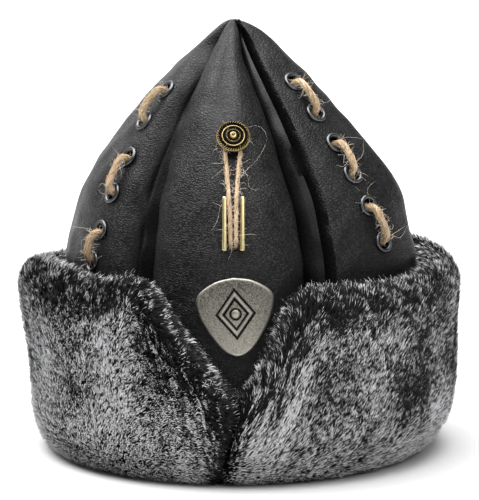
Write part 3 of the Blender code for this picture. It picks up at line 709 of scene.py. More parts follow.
def lobe_points(name, heights, steps):
    """Points of a gore's section, heights by steps: a superellipse on the chord between its seams.

    The sine of the step's angle, raised to a power, goes along the chord, and its cosine, raised to
    another, goes out from it. Near the rim the section eases into the rim's oval.
    """
    heights, steps = np.asarray(heights, float), np.asarray(steps, float)
    start, end, top = gore_frame(name, heights)
    chord = end - start
    length = np.linalg.norm(chord, axis=-1)
    along = chord / length[:, None]
    outward = np.stack([along[:, 1], -along[:, 0]], -1)
    fold = (((top - start) * along).sum(-1) / length)[:, None]
    bulge = ((top - start) * outward).sum(-1)[:, None]
    angle = np.broadcast_to(steps, (len(heights), steps.shape[-1])) * math.pi / 2
    across = np.sign(angle) * np.abs(np.sin(angle)) ** (2 / LOBES[name].flatness)
    place = fold + np.where(across < 0, fold * across, (1 - fold) * across)
    out = bulge * np.abs(np.cos(angle)) ** (2 / LOBES[name].steepness)
    if name == "front":
        near_peak = bell(heights - DIMPLE_HEIGHT, DIMPLE_REACH)
        out = out - DIMPLE_DEPTH * near_peak[:, None] * bell(across, DIMPLE_WIDTH)
    points = start[:, None] + (place * length[:, None])[..., None] * along[:, None]
    points = points + out[..., None] * outward[:, None]
    oval = points / np.hypot(points[..., :1] / (RIM_WIDTH / 2), points[..., 1:] / (RIM_DEPTH / 2))
    above = np.minimum(heights / RIM_EASE, 1.0)[:, None, None]
    return oval + (points - oval) * above**2 * (3 - 2 * above)


def seam_turn(name, heights, side, parts):
    """The gore's edge rolled into the seam: a quadratic curve from the lobe round the mouth and in."""
    start, end, _ = gore_frame(name, heights)
    mouth, neighbour = (end, start) if side > 0 else (start, end)
    seam_left, seam_right = smooth_columns(CROWN, heights)[:, 4:6].T
    centre = np.stack([(seam_left + seam_right) / 2, np.zeros_like(heights)], -1)
    reach = np.linalg.norm(centre - mouth, axis=-1)
    inward = (centre - mouth) / reach[:, None]
    own_side = np.stack([-inward[:, 1], inward[:, 0]], -1)
    own_side *= np.sign(((neighbour - mouth) * own_side).sum(-1))[:, None]
    rim_share = np.minimum(heights / SEAM_TURN_FULL_AT, 1.0)
    depth = SEAM_TURN_AT_RIM + (SEAM_TURN - SEAM_TURN_AT_RIM) * rim_share
    depth = np.minimum(depth, np.maximum(0.0, 0.5 * (reach - SEAM_TURN_ENDS_AT)))
    mouth = mouth + own_side * SEAM_GAP / 2
    first = lobe_points(name, heights, [side * LOBES[name].end])
    last = (mouth + inward * depth[:, None])[:, None]
    t = np.asarray(parts)[None, :, None]
    return (1 - t) ** 2 * first + 2 * t * (1 - t) * mouth[:, None] + t**2 * last


def gore_grid(name):
    """A gore's outer face, rows by columns: sections up to the top row, which then shrinks to the peak.

    The sections lie closer above the shoulder, and their columns lie closer toward the seams. A
    closing row is drawn in toward the gore's own corner at the peak by a share, and it has risen by
    one less that share raised to a power.
    """
    below = np.linspace(0, SHOULDER, ROWS_BELOW)
    heights = np.concatenate([below, np.linspace(SHOULDER, GORE_TOP, ROWS_ABOVE)[1:]])
    even = np.linspace(-1, 1, GORE_COLUMNS)
    steps = LOBES[name].end * (EVENNESS * even + (1 - EVENNESS) * np.sin(even * math.pi / 2))
    parts = np.linspace(0, 1, TURN_COLUMNS + 1)[1:]
    turns = [seam_turn(name, heights, side, parts) for side in (-1, 1)]
    flat = np.concatenate([turns[0][:, ::-1], lobe_points(name, heights, steps), turns[1]], axis=1)
    body = with_height(flat, heights[:, None])
    _, _, top = gore_frame(name, heights[-1:])
    seam_left, seam_right = smooth_columns(CROWN, heights[-1:])[0, 4:6]
    centre = np.array([(seam_left + seam_right) / 2, 0.0])
    corner = centre + PEAK_CORNER * unit(top[0] - centre)
    spread = np.linspace(1.0, CAP_END, CAP_ROWS)[1:, None]
    cap = corner + spread[..., None] * (flat[-1] - corner)
    rise = heights[-1] + GORE_CAP * (1 - spread**PEAK_CURVE)
    return np.concatenate([body, with_height(cap, rise)])


def with_height(flat, height):
    """Points in space from their places in the plan, rows by columns, and their heights."""
    height = np.broadcast_to(height, flat.shape[:2])
    return np.concatenate([flat, height[..., None]], axis=-1)


def surface_frame(name, height, step):
    """A point on a gore with its outward normal, from nearby points across and up it."""
    nudge = 0.5 * MM
    heights = np.array([height - nudge, height, height + nudge])
    points = with_height(lobe_points(name, heights, [step - 0.02, step, step + 0.02]), heights[:, None])
    return points[1, 1], unit(np.cross(points[1, 2] - points[1, 0], points[2, 1] - points[0, 1]))


def front_place(across, height, out=0.0):
    """A point of the front gore by its X and height, lifted off the leather along its normal."""
    steps = np.linspace(-0.9, 0.9, 61)
    xs = lobe_points("front", [height], steps)[0, :, 0]
    here, normal = surface_frame("front", height, float(np.interp(across, xs, steps)))
    return here + normal * out


def front_frame(across, height):
    """The front gore's place, and its side, up and out there, as rows."""
    here = front_place(across, height)
    return here, axes_along(unit(front_place(across, height, 1.0) - here))


def axes_along(normal):
    """A right-handed set of axes, as rows, whose third is the normal and whose first is level."""
    side = unit(np.cross([0.0, 0.0, 1.0], normal))
    return np.stack([side, np.cross(normal, side), normal])


def eyelet_places(name):
    """The place and outward normal of each eyelet on a side gore, top to bottom."""
    holes = EYELETS.get(name, [])
    return [surface_frame(name, hole.height * MM, TOWARD_FRONT[name] * hole.across) for hole in holes]


# Materials


def add_node(tree, kind, inputs=(), **settings):
    """Adds a node with its settings, and sets or links its inputs."""
    node = tree.nodes.new("ShaderNode" + kind)
    for name, value in settings.items():
        setattr(node, name, value)
    feed(tree, node, inputs)
    return node


def feed(tree, node, inputs):
    """Sets a node's inputs to values, or links them to sockets or to other nodes' first outputs."""
    for name, value in dict(inputs).items():
        if isinstance(value, bpy.types.Node):
            value = value.outputs[0]
        if isinstance(value, bpy.types.NodeSocket):
            tree.links.new(value, node.inputs[name])
        else:
            node.inputs[name].default_value = value


def start_material(name, **values):
    """A material with a Principled shader whose sockets take the given constants."""
    material = bpy.data.materials.new(name)
    material.use_nodes = True
    tree = material.node_tree
    shader = tree.nodes["Principled BSDF"]
    feed(tree, shader, {socket.replace("_", " "): value for socket, value in values.items()})
    return material, tree, shader


def rgba(colour, share=1.0):
    """A colour times a share, with its alpha."""
    return (*(share * part for part in colour), 1.0)


def leather_material(settings):
    """Cowhide, chrome tanned, dyed black and plated with a crinkled pebble grain, lightly waxed.

    It gives the eye a near-black ground with a soft grey sheen where it faces the light, broken up by
    fine creases painted darker as painted shade. The pebbles are wider than they are high, as the gores
    are cut across the hide. Real ones are about 1 mm wide and finer than the render shows, so these are
    drawn twice as wide. The attribute is 1 on the open faces and falls toward the seams, where the
    leather is pulled smooth and its colour is darkened as painted shade in the folds.
    """
    material, tree, shader = start_material("black_grained_leather", Specular_IOR_Level=0.22)
    place = add_node(tree, "TexCoord").outputs["Object"]
    drift = add_node(tree, "TexNoise", {"Vector": place, "Scale": 1 / (4 * MM), "Detail": 2.0})
    middle = {0: drift.outputs["Color"], 1: (0.5, 0.5, 0.5)}
    centred = add_node(tree, "VectorMath", middle, operation="SUBTRACT")
    pushed = add_node(tree, "VectorMath", {0: centred, "Scale": 2.6 * MM}, operation="SCALE")
    warped = add_node(tree, "VectorMath", {0: place, 1: pushed}, operation="ADD")
    flattened = add_node(tree, "Mapping", {"Vector": warped, "Scale": (1.0, 1.0, 1.8)})
    size = {"Vector": flattened, "Scale": 1 / settings.grain}
    pebbles = add_node(tree, "TexVoronoi", size, feature="DISTANCE_TO_EDGE").outputs["Distance"]
    crown = {"Value": pebbles, "From Max": 0.26}
    rounded = add_node(tree, "MapRange", crown, interpolation_type="SMOOTHSTEP")
    fine = {"Vector": flattened, "Scale": 1 / (2.6 * MM), "Detail": 2.5, "Roughness": 0.55}
    crinkle = add_node(tree, "TexNoise", fine)
    grained = add_node(tree, "Math", {0: crinkle, 1: 1.1, 2: rounded}, operation="MULTIPLY_ADD")
    open_face_and_fold_shade = add_node(tree, "Attribute", attribute_name="relief").outputs["Fac"]
    height = add_node(tree, "Math", {0: grained, 1: open_face_and_fold_shade}, operation="MULTIPLY")
    wear = add_node(tree, "TexNoise", {"Vector": place, "Scale": 1 / (22 * MM), "Detail": 3.0})
    gloss = add_node(tree, "Math", {0: rounded, 1: -0.14, 2: 0.37}, operation="MULTIPLY_ADD")
    dulled = add_node(tree, "Math", {0: wear, 1: 0.22, 2: gloss}, operation="MULTIPLY_ADD")
    pulled = add_node(tree, "Math", {0: open_face_and_fold_shade, 1: 0.14, 2: -0.14}, operation="MULTIPLY_ADD")
    rough = add_node(tree, "Math", {0: dulled, 1: pulled}, operation="ADD")
    # Painted shade: the tint goes to the crease colour in the grain's creases and in the seams' folds.
    share = add_node(tree, "Math", {0: rounded, 1: open_face_and_fold_shade}, operation="MULTIPLY")
    tones = {0: share, 6: rgba(settings.crease_shade), 7: rgba(settings.colour)}
    tint = add_node(tree, "Mix", tones, data_type="RGBA").outputs[2]
    bump = add_node(tree, "Bump", {"Height": height, "Distance": settings.relief, "Strength": 0.9})
    feed(tree, shader, {"Base Color": tint, "Roughness": rough, "Normal": bump})
    return material


def pile_material(settings):
    """Faux fur: acrylic pile, knitted in dark and dyed pale at the tips.

    It gives the eye pale frosted tips over near-black roots. Each strand's map holds its own shade
    from left to right and runs from its root to its tip upwards. A paler strand's frost starts lower.
    """
    gloss = {"Roughness": 0.62, "Specular_IOR_Level": 0.25}
    material, tree, shader = start_material("frosted_acrylic_pile", **gloss)
    place = add_node(tree, "UVMap", uv_map="OFBake")
    parts = add_node(tree, "SeparateXYZ", {0: place})
    start = add_node(tree, "Math", {0: parts.outputs[0], 1: -0.8, 2: 1.12}, operation="MULTIPLY_ADD")
    past = add_node(tree, "Math", {0: parts.outputs[1], 1: start}, operation="SUBTRACT")
    tip = {"Value": past, "From Max": 0.24}
    frost = add_node(tree, "MapRange", tip, interpolation_type="SMOOTHSTEP")
    tones = {0: frost, 6: rgba(settings.root), 7: rgba(settings.tip)}
    feed(tree, shader, {"Base Color": add_node(tree, "Mix", tones, data_type="RGBA").outputs[2]})
    return material


def pelt_material(settings):
    """The pile's knitted backing with its short dark underwool.

    It gives the eye a matt near-black between the tufts, mottled by curls about 1.2 mm wide whose
    crests are painted paler and hollows darker, as painted light and shade.
    """
    material, tree, shader = start_material("dark_underwool", Roughness=0.95, Specular_IOR_Level=0.1)
    place = add_node(tree, "TexCoord").outputs["Object"]
    wool = add_node(tree, "TexNoise", {"Vector": place, "Scale": 1 / (1.2 * MM), "Detail": 3.0})
    # Painted light and shade: the curls' crests take the paler copy of the root colour, their hollows
    # the darker.
    tones = {0: wool, 6: rgba(settings.root), 7: rgba(settings.root, 1.6)}
    tint = add_node(tree, "Mix", tones, data_type="RGBA").outputs[2]
    bump = add_node(tree, "Bump", {"Height": wool, "Distance": 0.5 * MM, "Strength": 0.8})
    feed(tree, shader, {"Base Color": tint, "Normal": bump})
    return material


def jute_material(settings):
    """Jute twine: bast fibre, loosely spun, undyed and dry.

    It gives the eye a matt dusty tan with grooves painted darker as painted shade, streaks that
    follow the twist and paler loose fibres. The map runs along the cord in metres and round it in
    turns, and the streaks are about 4 mm long. The attribute holds the share of the lighter tone, and
    above one that of the bleached fibres.
    """
    material, tree, shader = start_material("natural_jute", Roughness=0.88, Specular_IOR_Level=0.2)
    place = add_node(tree, "UVMap", uv_map="twist")
    long_way = add_node(tree, "Mapping", {"Vector": place, "Scale": (260.0, 22.0, 1.0)})
    streaks = add_node(tree, "TexNoise", {"Vector": long_way, "Scale": 1.0, "Detail": 2.0})
    groove = add_node(tree, "Attribute", attribute_name="relief").outputs["Fac"]
    raised = add_node(tree, "Math", {0: streaks, 1: 1.1, 2: -0.55}, operation="MULTIPLY_ADD")
    share = add_node(tree, "Math", {0: groove, 1: raised}, operation="ADD", use_clamp=True)
    tones = {0: share, 6: rgba(settings.shade), 7: rgba(settings.colour)}
    spun = add_node(tree, "Mix", tones, data_type="RGBA").outputs[2]
    loose = add_node(tree, "Math", {0: groove, 1: 1.0}, operation="SUBTRACT", use_clamp=True)
    tones = {0: loose, 6: spun, 7: rgba(settings.loose)}
    tint = add_node(tree, "Mix", tones, data_type="RGBA").outputs[2]
    bump = add_node(tree, "Bump", {"Height": streaks, "Distance": 0.35 * MM, "Strength": 0.8})
    feed(tree, shader, {"Base Color": tint, "Normal": bump})
    return material


# How rough a metal is where it is rubbed, its grit and the depth of its pits, and the heights in its
# relief at which its patina, and on the toggle and the badge its painted shade, starts to thin and is
# gone
Finish = namedtuple("Finish", "roughness grit pits patina_from patina_to")
METALS = {
    # Rolled steel, plated dark: a cool grey highlight round each lip
    "gunmetal_plated_steel": Finish(0.33, 0.6, 0.03, 0.1, 0.75),
    # Cast, brass plated, blackened and rubbed: golden rings and rope over black hollows
    "antique_brass": Finish(0.34, 0.5, 0.05, 0.3, 0.85),
    # Drawn brass rod, left plain: one long pale highlight down each bar, its sides and back painted
    # dark as painted shade
    "drawn_brass": Finish(0.34, 0.9, 0.02, 0.3, 0.8),
    # Cast, silver plated and rubbed: a soft warm grey face with dark pits and dark grooves, and painted
    # shade darkening its top
    "antique_silver": Finish(0.42, 0.8, 0.06, 0.05, 0.9),
}


def metal_material(name, colour, tarnish_and_shade):
    """A metal with patina left in its recesses and rubbed bright on its high spots.

    The attribute holds how high each point stands in the relief, and on the toggle and the badge it
    also carries painted light and shade. Fine noise of the grit's size breaks up the edge of the patina
    and pits the surface. The grit is drawn coarse enough to show.
    """
    finish = METALS[name]
    material, tree, shader = start_material(name, Metallic=1.0)
    place = add_node(tree, "TexCoord").outputs["Object"]
    grit = {"Vector": place, "Scale": 1 / (finish.grit * MM), "Detail": 3.0, "Roughness": 0.7}
    pits = add_node(tree, "TexNoise", grit)
    high = add_node(tree, "Attribute", attribute_name="relief").outputs["Fac"]
    mottle = add_node(tree, "Math", {0: pits, 1: 0.9, 2: -0.45}, operation="MULTIPLY_ADD")
    rubbed = add_node(tree, "Math", {0: high, 1: mottle}, operation="ADD")
    patina = {"Value": rubbed, "From Min": finish.patina_from, "From Max": finish.patina_to}
    share = add_node(tree, "MapRange", patina, interpolation_type="SMOOTHSTEP")
    tones = {0: share, 6: rgba(tarnish_and_shade), 7: rgba(colour)}
    tint = add_node(tree, "Mix", tones, data_type="RGBA").outputs[2]
    dull = {"Value": share, "To Min": finish.roughness + 0.3, "To Max": finish.roughness}
    rough = add_node(tree, "MapRange", dull)
    bump = add_node(tree, "Bump", {"Height": pits, "Distance": finish.pits * MM, "Strength": 0.5})
    feed(tree, shader, {"Base Color": tint, "Roughness": rough, "Normal": bump})
    return material


# Crown


def open_hole(outer, inner, place, normal, radius):
    """Leaves out the quads within a radius of an axis, and draws the edge's points onto that circle."""
    middles = (outer[:-1, :-1] + outer[:-1, 1:] + outer[1:, 1:] + outer[1:, :-1]) / 4
    lost = np.linalg.norm(np.cross(middles - place, normal), axis=-1) < radius
    lost &= np.linalg.norm(middles - place, axis=-1) < 2 * radius
    touched, kept = np.zeros(outer.shape[:2], bool), np.zeros(outer.shape[:2], bool)
    for rows in (slice(None, -1), slice(1, None)):
        for columns in (slice(None, -1), slice(1, None)):
            touched[rows, columns] |= lost
            kept[rows, columns] |= ~lost
    edge = touched & kept
    for sheet in (outer, inner):
        from_axis = sheet[edge] - place
        along = (from_axis @ normal)[:, None] * normal
        sheet[edge] = place + along + radius * unit(from_axis - along)
    return ~lost


def sink_seams(outer):
    """Draws both edges of a gore in toward the hat's axis, so that each seam lies in a deep fold.

    The shift grows with a power of the closeness to the seam, and is less near the rim and the peak.
    The edges also part a little, by the cube of the closeness, so that the seam is a dark line. The
    fold reaches farther over each gore's right edge, which rolls in gently, than over its steep left
    one. Returns how open each point's face is, from 1 down to 0.1 in a seam, by which the leather's
    colour is darkened as painted shade in the folds.
    """
    steps = np.linalg.norm(np.diff(outer[..., :2], axis=1), axis=-1)
    along = np.concatenate([np.zeros((len(outer), 1)), np.cumsum(steps, axis=1)], axis=1)
    first, last = TURN_COLUMNS, outer.shape[1] - 1 - TURN_COLUMNS
    chord = along[:, last] - along[:, first]
    near_peak = np.clip((chord - SEAM_SINK_FROM) / SEAM_SINK_OVER, 0, 1)
    fade = (near_peak * np.clip(outer[:, 0, 2] / RIM_EASE, 0, 1))[:, None]
    level = unit(outer[:, last, :2] - outer[:, first, :2])
    sides = [
        (first, along - along[:, first, None], level),
        (last, along[:, last, None] - along, -level),
    ]
    open_face_and_fold_shade = np.ones_like(along)
    for (mouth, apart, away), width, parting in zip(sides, SEAM_SINK_WIDTHS, SEAM_OPEN):
        near = np.clip(1 - apart / (width * fade + 0.1 * MM), 0, 1)
        sunk = SEAM_SINK * fade * near**1.15
        outer[..., :2] -= sunk[..., None] * unit(outer[:, mouth, :2])[:, None]
        outer[..., :2] += (parting * fade * near**3)[..., None] * away[:, None]
        open_face_and_fold_shade = np.minimum(open_face_and_fold_shade, np.clip(1.1 - near**1.2, 0.1, 1))
    return open_face_and_fold_shade


def make_gore(name, leather):
    """A gore: its outer face, an inner face one wall behind along the normals, and the edges between.

    Soft puckers lift and lower the outer face along its normals, less near the peak.
    """
    outer = gore_grid(name)
    open_face_and_fold_shade = sink_seams(outer)
    down, across = np.gradient(outer, axis=0), np.gradient(outer, axis=1)
    normals = unit(np.cross(across, down))
    centre = (outer[:, :1, :2] + outer[:, -1:, :2]) / 2
    reach = np.linalg.norm(outer[:, :, :2] - centre, axis=2, keepdims=True)
    fade = np.clip(reach / TIP_FADE, 0.0, 1.0)
    puckers = PUCKER_DEPTH * waves(outer, PUCKER_WIDTH, 5) * np.clip(reach / PUCKER_FADE, 0, 1)[..., 0]
    outer += normals * puckers[..., None]
    inner = outer - LEATHER * normals * np.concatenate([fade, fade, np.ones_like(fade)], axis=2)
    inner[0, :, 2] = 0.0
    outer[0, :, 2] = 0.0
    inner[-1, :, 2] = outer[-1, :, 2] - LEATHER
    keep = np.ones((outer.shape[0] - 1, outer.shape[1] - 1), bool)
    for place, normal in eyelet_places(name):
        keep &= open_hole(outer, inner, place, normal, EYELET_HOLE)
    if name == "front":
        here, axes = front_frame(*CORD_HOLE)
        keep &= open_hole(outer, inner, here, axes[2], CORD_HOLE_RADIUS)
    points, faces, used = shell(outer, inner, keep)
    gore = add_mesh(f"crown_{name}", points, [faces], leather, 50.0)
    # The leather's colour darkens toward the seams by this share: painted shade in the folds.
    set_relief(gore, np.tile(open_face_and_fold_shade.ravel(), 2)[used])
    dress(gore, "black_leather", f"crown_{name}_gore")


# Cuff


def rim_point(turn, out, height):
    """Points standing off the rim's oval along its normal, at angles from the front, in radians."""
    a, b = RIM_WIDTH / 2, RIM_DEPTH / 2
    oval = np.stack([a * np.sin(turn), -b * np.cos(turn)], -1)
    normal = unit(np.stack([np.sin(turn) / a, -np.cos(turn) / b], -1))
    return with_height(oval + out[..., None] * normal, height)


def cuff_turn(share, height):
    """The angle of a column of the cuff, which leans with the front seam near it."""
    up = np.clip(height / SEAM_LEAN_TOP, 0.0, 1.0)
    seam = SEAM_LEAN_LOW + (SEAM_LEAN_HIGH - SEAM_LEAN_LOW) * up
    degrees = 360.0 * share
    near = np.exp(-np.minimum(degrees, 360.0 - degrees) / SEAM_LEAN_REACH)
    half_gap = math.degrees(SEAM_GAP / RIM_DEPTH)
    return np.radians(degrees + seam * near + half_gap * (1 - 2 * share))


def cuff_height(share):
    """The height of the cuff's top edge, as the mean of nearby columns, so that it has no corners."""
    turns = [edge.turn for edge in CUFF_TOP]
    heights = [edge.height for edge in CUFF_TOP]
    degrees = CUFF_TOP[0].turn + share * (CUFF_TOP[-1].turn - CUFF_TOP[0].turn)
    offsets = CUFF_TOP_BLUR * np.array([-1, -0.5, 0, 0.5, 1])
    near = [np.interp(degrees + offset, turns, heights) for offset in offsets]
    return np.mean(near, axis=0) * MM


def cuff_outer(share, height):
    """How far the fur's outer face stands off the rim's oval in a column, at a height."""
    heights, left, right = np.array(CUFF_OUTER).T * MM
    right_share = (1 + np.sin(2 * math.pi * share)) / 2
    left, right = np.interp(height, heights, left), np.interp(height, heights, right)
    return left + (right - left) * right_share


def facing_out(height):
    """How far the facing's inner side stands off the rim's oval: it flares evenly from its foot."""
    return FACING_FOOT + FACING_FLARE * height


def seam_distance(share):
    """How far round the cuff a column lies from the front seam."""
    return np.minimum(share, 1 - share) * math.pi * RIM_DEPTH


def cuff_form(columns):
    """The fur's outer form, columns by points: up the back, over the lip and down the face to the foot.

    Each column is a section of its own height. A quarter ellipse carries it from the lip to the top,
    and the outer face leaves the top on another, then follows the flare less the front seam's groove.
    """
    share = np.linspace(0, 1, columns)[:, None]
    top = cuff_height(share)
    lip = top - LIP_HEIGHT
    inner = facing_out(lip) - LIP_OVERHANG
    behind = FACING + FIT_GAP
    middle = inner + CUFF_TOP_MIDDLE * (cuff_outer(share, top) - inner)
    into_groove = np.maximum(0.0, 1 - seam_distance(share) / SEAM_GROOVE_WIDTH)
    groove = SEAM_GROOVE * (1 - np.sqrt(1 - into_groove**2))
    back = lip * np.linspace(0, 1, BACK_POINTS)
    back_out = facing_out(back) + behind
    quarter = np.linspace(0, 1, ROUND_POINTS) * math.pi / 2
    lip_out = middle - (middle - inner) * np.cos(quarter)
    lip_height = lip + LIP_HEIGHT * np.sin(quarter)
    round_off = top - CUFF_TOP_ROUND * (1 - np.cos(quarter[1:]))
    rest = (top - CUFF_TOP_ROUND) * (1 - np.linspace(0, 1, FACE_POINTS)[1:] ** 0.8)
    face = np.concatenate([round_off, rest], axis=1)
    above = np.maximum(0.0, 1 - (top - face) / CUFF_TOP_ROUND)
    body = cuff_outer(share, face)
    body = body - (body - middle) * (1 - np.sqrt(1 - above**2)) - groove
    face_out = np.maximum(body, facing_out(face) + behind + FUR_LEAST)
    out = np.concatenate([back_out, lip_out, face_out], axis=1)
    height = np.concatenate([back, lip_height, face], axis=1)
    return rim_point(cuff_turn(share, height), out, height)


def make_cuff(leather, settings):
    """The pelt under the pile, its leather facing, and the pile itself in pieces round the hat."""
    form = cuff_form(CUFF_COLUMNS)
    along, down = np.gradient(form, axis=0), np.gradient(form, axis=1)
    normals = unit(np.cross(down, along))
    over_lip = np.clip((np.arange(form.shape[1]) - BACK_POINTS) / 6, 0, 1)[None, :, None]
    depth = settings.depth * over_lip * np.clip(form[..., 2:] / (9 * MM), 0.35, 1)
    pelt = form - depth * normals
    pelt[..., 2] = np.maximum(pelt[..., 2], 0.0)
    make_pelt(pelt, settings)
    make_facing(leather)
    make_pile(form, pelt, normals, settings)


def make_pelt(pelt, settings):
    """The pelt as a closed sweep: each column's ring of points joined to the next, with capped ends."""
    skin, ends = tube_faces(*pelt.shape[:2], turned_over=True)
    thing = add_mesh("cuff_pelt", pelt.reshape(-1, 3), [skin, ends], pelt_material(settings), 60.0)
    dress(thing, "frosted_fur", "fur_cuff")


def make_facing(leather):
    """The leather behind the fur, a flared wall from the rim to just under the fur's lip."""
    share = np.linspace(0, 1, FACING_COLUMNS)[:, None]
    height = (cuff_height(share) - LIP_HEIGHT - LIP_GAP) * np.linspace(0, 1, FACING_ROWS)
    turn, out = cuff_turn(share, height), facing_out(height)
    walls = [rim_point(turn, out + extra, height).transpose(1, 0, 2) for extra in (FACING, 0.0)]
    points, faces, _ = shell(*walls)
    lining = add_mesh("cuff_lining", points, [faces], leather, 50.0)
    set_relief(lining, np.ones(len(points)))
    dress(lining, "black_leather", "cuff_facing")


def make_pile(form, pelt, normals, settings):
    """The fur's strands: each a bent ribbon from a random point of the pelt to near the outer form.

    A strand leaves the pelt along a mix of the normal and the comb's direction and bends toward the
    comb, and its tip is drawn toward the middle of its tuft. Near the cuff's top edge the strands
    stand up and part more, and some loose ones there are half again as long.
    """
    rng = np.random.default_rng(11)
    spread, share = scatter(pelt, settings.strands, rng)
    roots, out = spread(pelt), unit(spread(normals))
    right = unit(spread(np.gradient(form, axis=0)))
    upward = -unit(spread(np.gradient(form, axis=1)))
    height, count = roots[:, 2], len(roots)
    step = np.linalg.norm(np.diff(pelt, axis=1), axis=-1)
    run = np.concatenate([np.zeros((len(pelt), 1)), np.cumsum(step, axis=1)], axis=1)
    flat = np.stack([share * CUFF_ROUND, spread(run[..., None])[:, 0]], axis=1)
    from_edge, steep = edge_distance(share, height)
    rough = np.clip(bell(from_edge, 15 * MM) + 0.2 * waves(flat, 24 * MM, 21), 0, 1)

    # The comb's way at each strand, how far it lifts off the pelt and how long it is
    comb = np.radians(comb_angle(share, height))
    comb += 0.12 * waves(flat, 20 * MM, 22) + (0.14 + 0.22 * rough) * waves(flat, 4.5 * MM, 23)
    comb = (comb + rng.normal(0, 0.17, count))[:, None]
    way = upward * np.cos(comb) + right * np.sin(comb)
    on_lip = np.clip((height - (cuff_height(share) - 4 * MM)) / (4 * MM), 0, 1)
    lift = np.radians(21 + 15 * rough + 26 * on_lip + rng.normal(0, 6, count))[:, None]
    tuft, tuft_tone = tufts(flat, settings.clump)
    gap = np.clip(waves(flat, 4.5 * MM, 24) * 0.9 - 0.85, 0, 1)
    length = settings.length * (1 - 0.16 * rough - 0.25 * gap + rng.normal(0, 0.07, count))
    length = length * np.clip(0.5 + height / (14 * MM), 0.5, 1.0)
    fringe = bell(from_edge, 7 * MM)
    loose = rng.random(count) < 0.08 * fringe * (1 - 0.6 * steep)
    length = np.where(loose, 1.5, 1 + 0.2 * fringe) * length

    # The strand's bent line, with its tip pulled toward the middle of its tuft
    first = way * np.cos(lift + 0.45) + out * np.sin(lift + 0.45)
    last = way * np.cos(lift - 0.25) + out * np.sin(lift - 0.25)
    bent = first[:, None] * PILE_AT[:, None] + (last - first)[:, None] * (PILE_AT**2 / 2)[:, None]
    line = roots[:, None] + length[:, None, None] * bent
    pull = (tuft[:, :1] * right - tuft[:, 1:] * upward)[:, None]
    line = line + (0.32 + 0.32 * rough)[:, None, None] * pull * (PILE_AT**1.4)[:, None]
    line[..., 2] = np.maximum(line[..., 2], 0.25 * MM)
    roll = rng.normal(0, 0.55, count)[:, None]
    points = ribbons(line, out, roll, settings.width * np.where(loose, 0.5, 1.0))

    dark, tone = pile_tones(flat, share, height, from_edge, steep, gap)
    tone = tone + (0.15 + 0.4 * dark) * tuft_tone + (0.1 + 0.14 * dark) * rng.normal(size=count)
    tone = np.clip(np.where(loose, 0.7 - 0.25 * steep, tone), 0.03, 0.97)
    add_strands(points, tone, pile_material(settings))


def scatter(pelt, count, rng):
    """Random places on the pelt over the lip and down the face, closer together at the front.

    Returns a function that gives a grid's values at those places, and how far round each one lies.
    """
    corner, below, beside = pelt[:-1, :-1], pelt[:-1, 1:], pelt[1:, :-1]
    area = np.linalg.norm(np.cross(below - corner, beside - corner), axis=-1)
    closer = 0.8 + 0.2 * np.cos(2 * math.pi * np.linspace(0, 1, len(area)))[:, None]
    area = area * np.clip((np.arange(area.shape[1]) - 3) / 3, 0, 1) * closer
    cells = rng.choice(area.size, count, p=area.ravel() / area.sum())
    cells.sort()
    column, row = np.divmod(cells, area.shape[1])
    u, v = rng.random((2, count, 1))

    def spread(grid):
        near = (1 - v) * grid[column, row] + v * grid[column, row + 1]
        far = (1 - v) * grid[column + 1, row] + v * grid[column + 1, row + 1]
        return (1 - u) * near + u * far

    return spread, (column[:, None] + u)[:, 0] / (len(pelt) - 1)


def edge_distance(share, height):
    """How far below the top edge a point lies, square to the edge, and the edge's slope, up to 1."""
    nudge = 0.002
    rise = cuff_height(share + nudge) - cuff_height(share - nudge)
    slope = np.abs(rise / (2 * nudge * CUFF_ROUND))
    below = np.maximum(cuff_height(share) - height, 0.0)
    return below / np.hypot(1.0, slope), np.clip(slope, 0, 1)


def comb_angle(share, height):
    """The comb's direction in degrees from straight up toward the next column, to the right in front.

    The left half leans to the upper right, more so at the foot. The right half stands nearly upright,
    and is swept sideways away from the front seam. One turns smoothly into the other at the back.
    """
    from_seam = seam_distance(share)
    low = np.clip(1 - height / (40 * MM), 0, 1)
    right = 6 + 62 * np.exp(-from_seam / (26 * MM))
    left = 42 + 8 * low + 10 * np.exp(-from_seam / (20 * MM))
    back = 0.5 + 0.5 * np.cos(2 * math.pi * share)
    return 16 + (np.where(share < 0.5, right, left) - 16) * back**0.5


def tufts(flat, size):
    """Each strand's way to the middle of its tuft, and its tuft's own tone between -1 and 1.

    The middles are one random point in each cell of a grid, and a strand belongs to the nearest of the
    nine round it. Each cell is the tufts' size across, and TUFT_STRETCH times as high.
    """
    cell_size = np.array([size, TUFT_STRETCH * size])
    scaled = flat / cell_size
    cell = np.floor(scaled).astype(np.int64)
    best = np.full(len(flat), np.inf)
    way, tone = np.zeros_like(flat), np.zeros(len(flat))
    for a in (-1, 0, 1):
        for b in (-1, 0, 1):
            other = cell + (a, b)
            mixed = (other[:, 0] * 73856093 ^ other[:, 1] * 19349663) & 0xFFFFFFF
            place = np.stack([(mixed * 7919 % 1009) / 1009, (mixed * 104729 % 1013) / 1013], axis=1)
            apart = other + place - scaled
            distance = (apart**2).sum(axis=1)
            nearer = distance < best
            best = np.where(nearer, distance, best)
            way = np.where(nearer[:, None], apart, way)
            tone = np.where(nearer, (mixed * 31 % 997) / 498.5 - 1, tone)
    return way * cell_size, tone


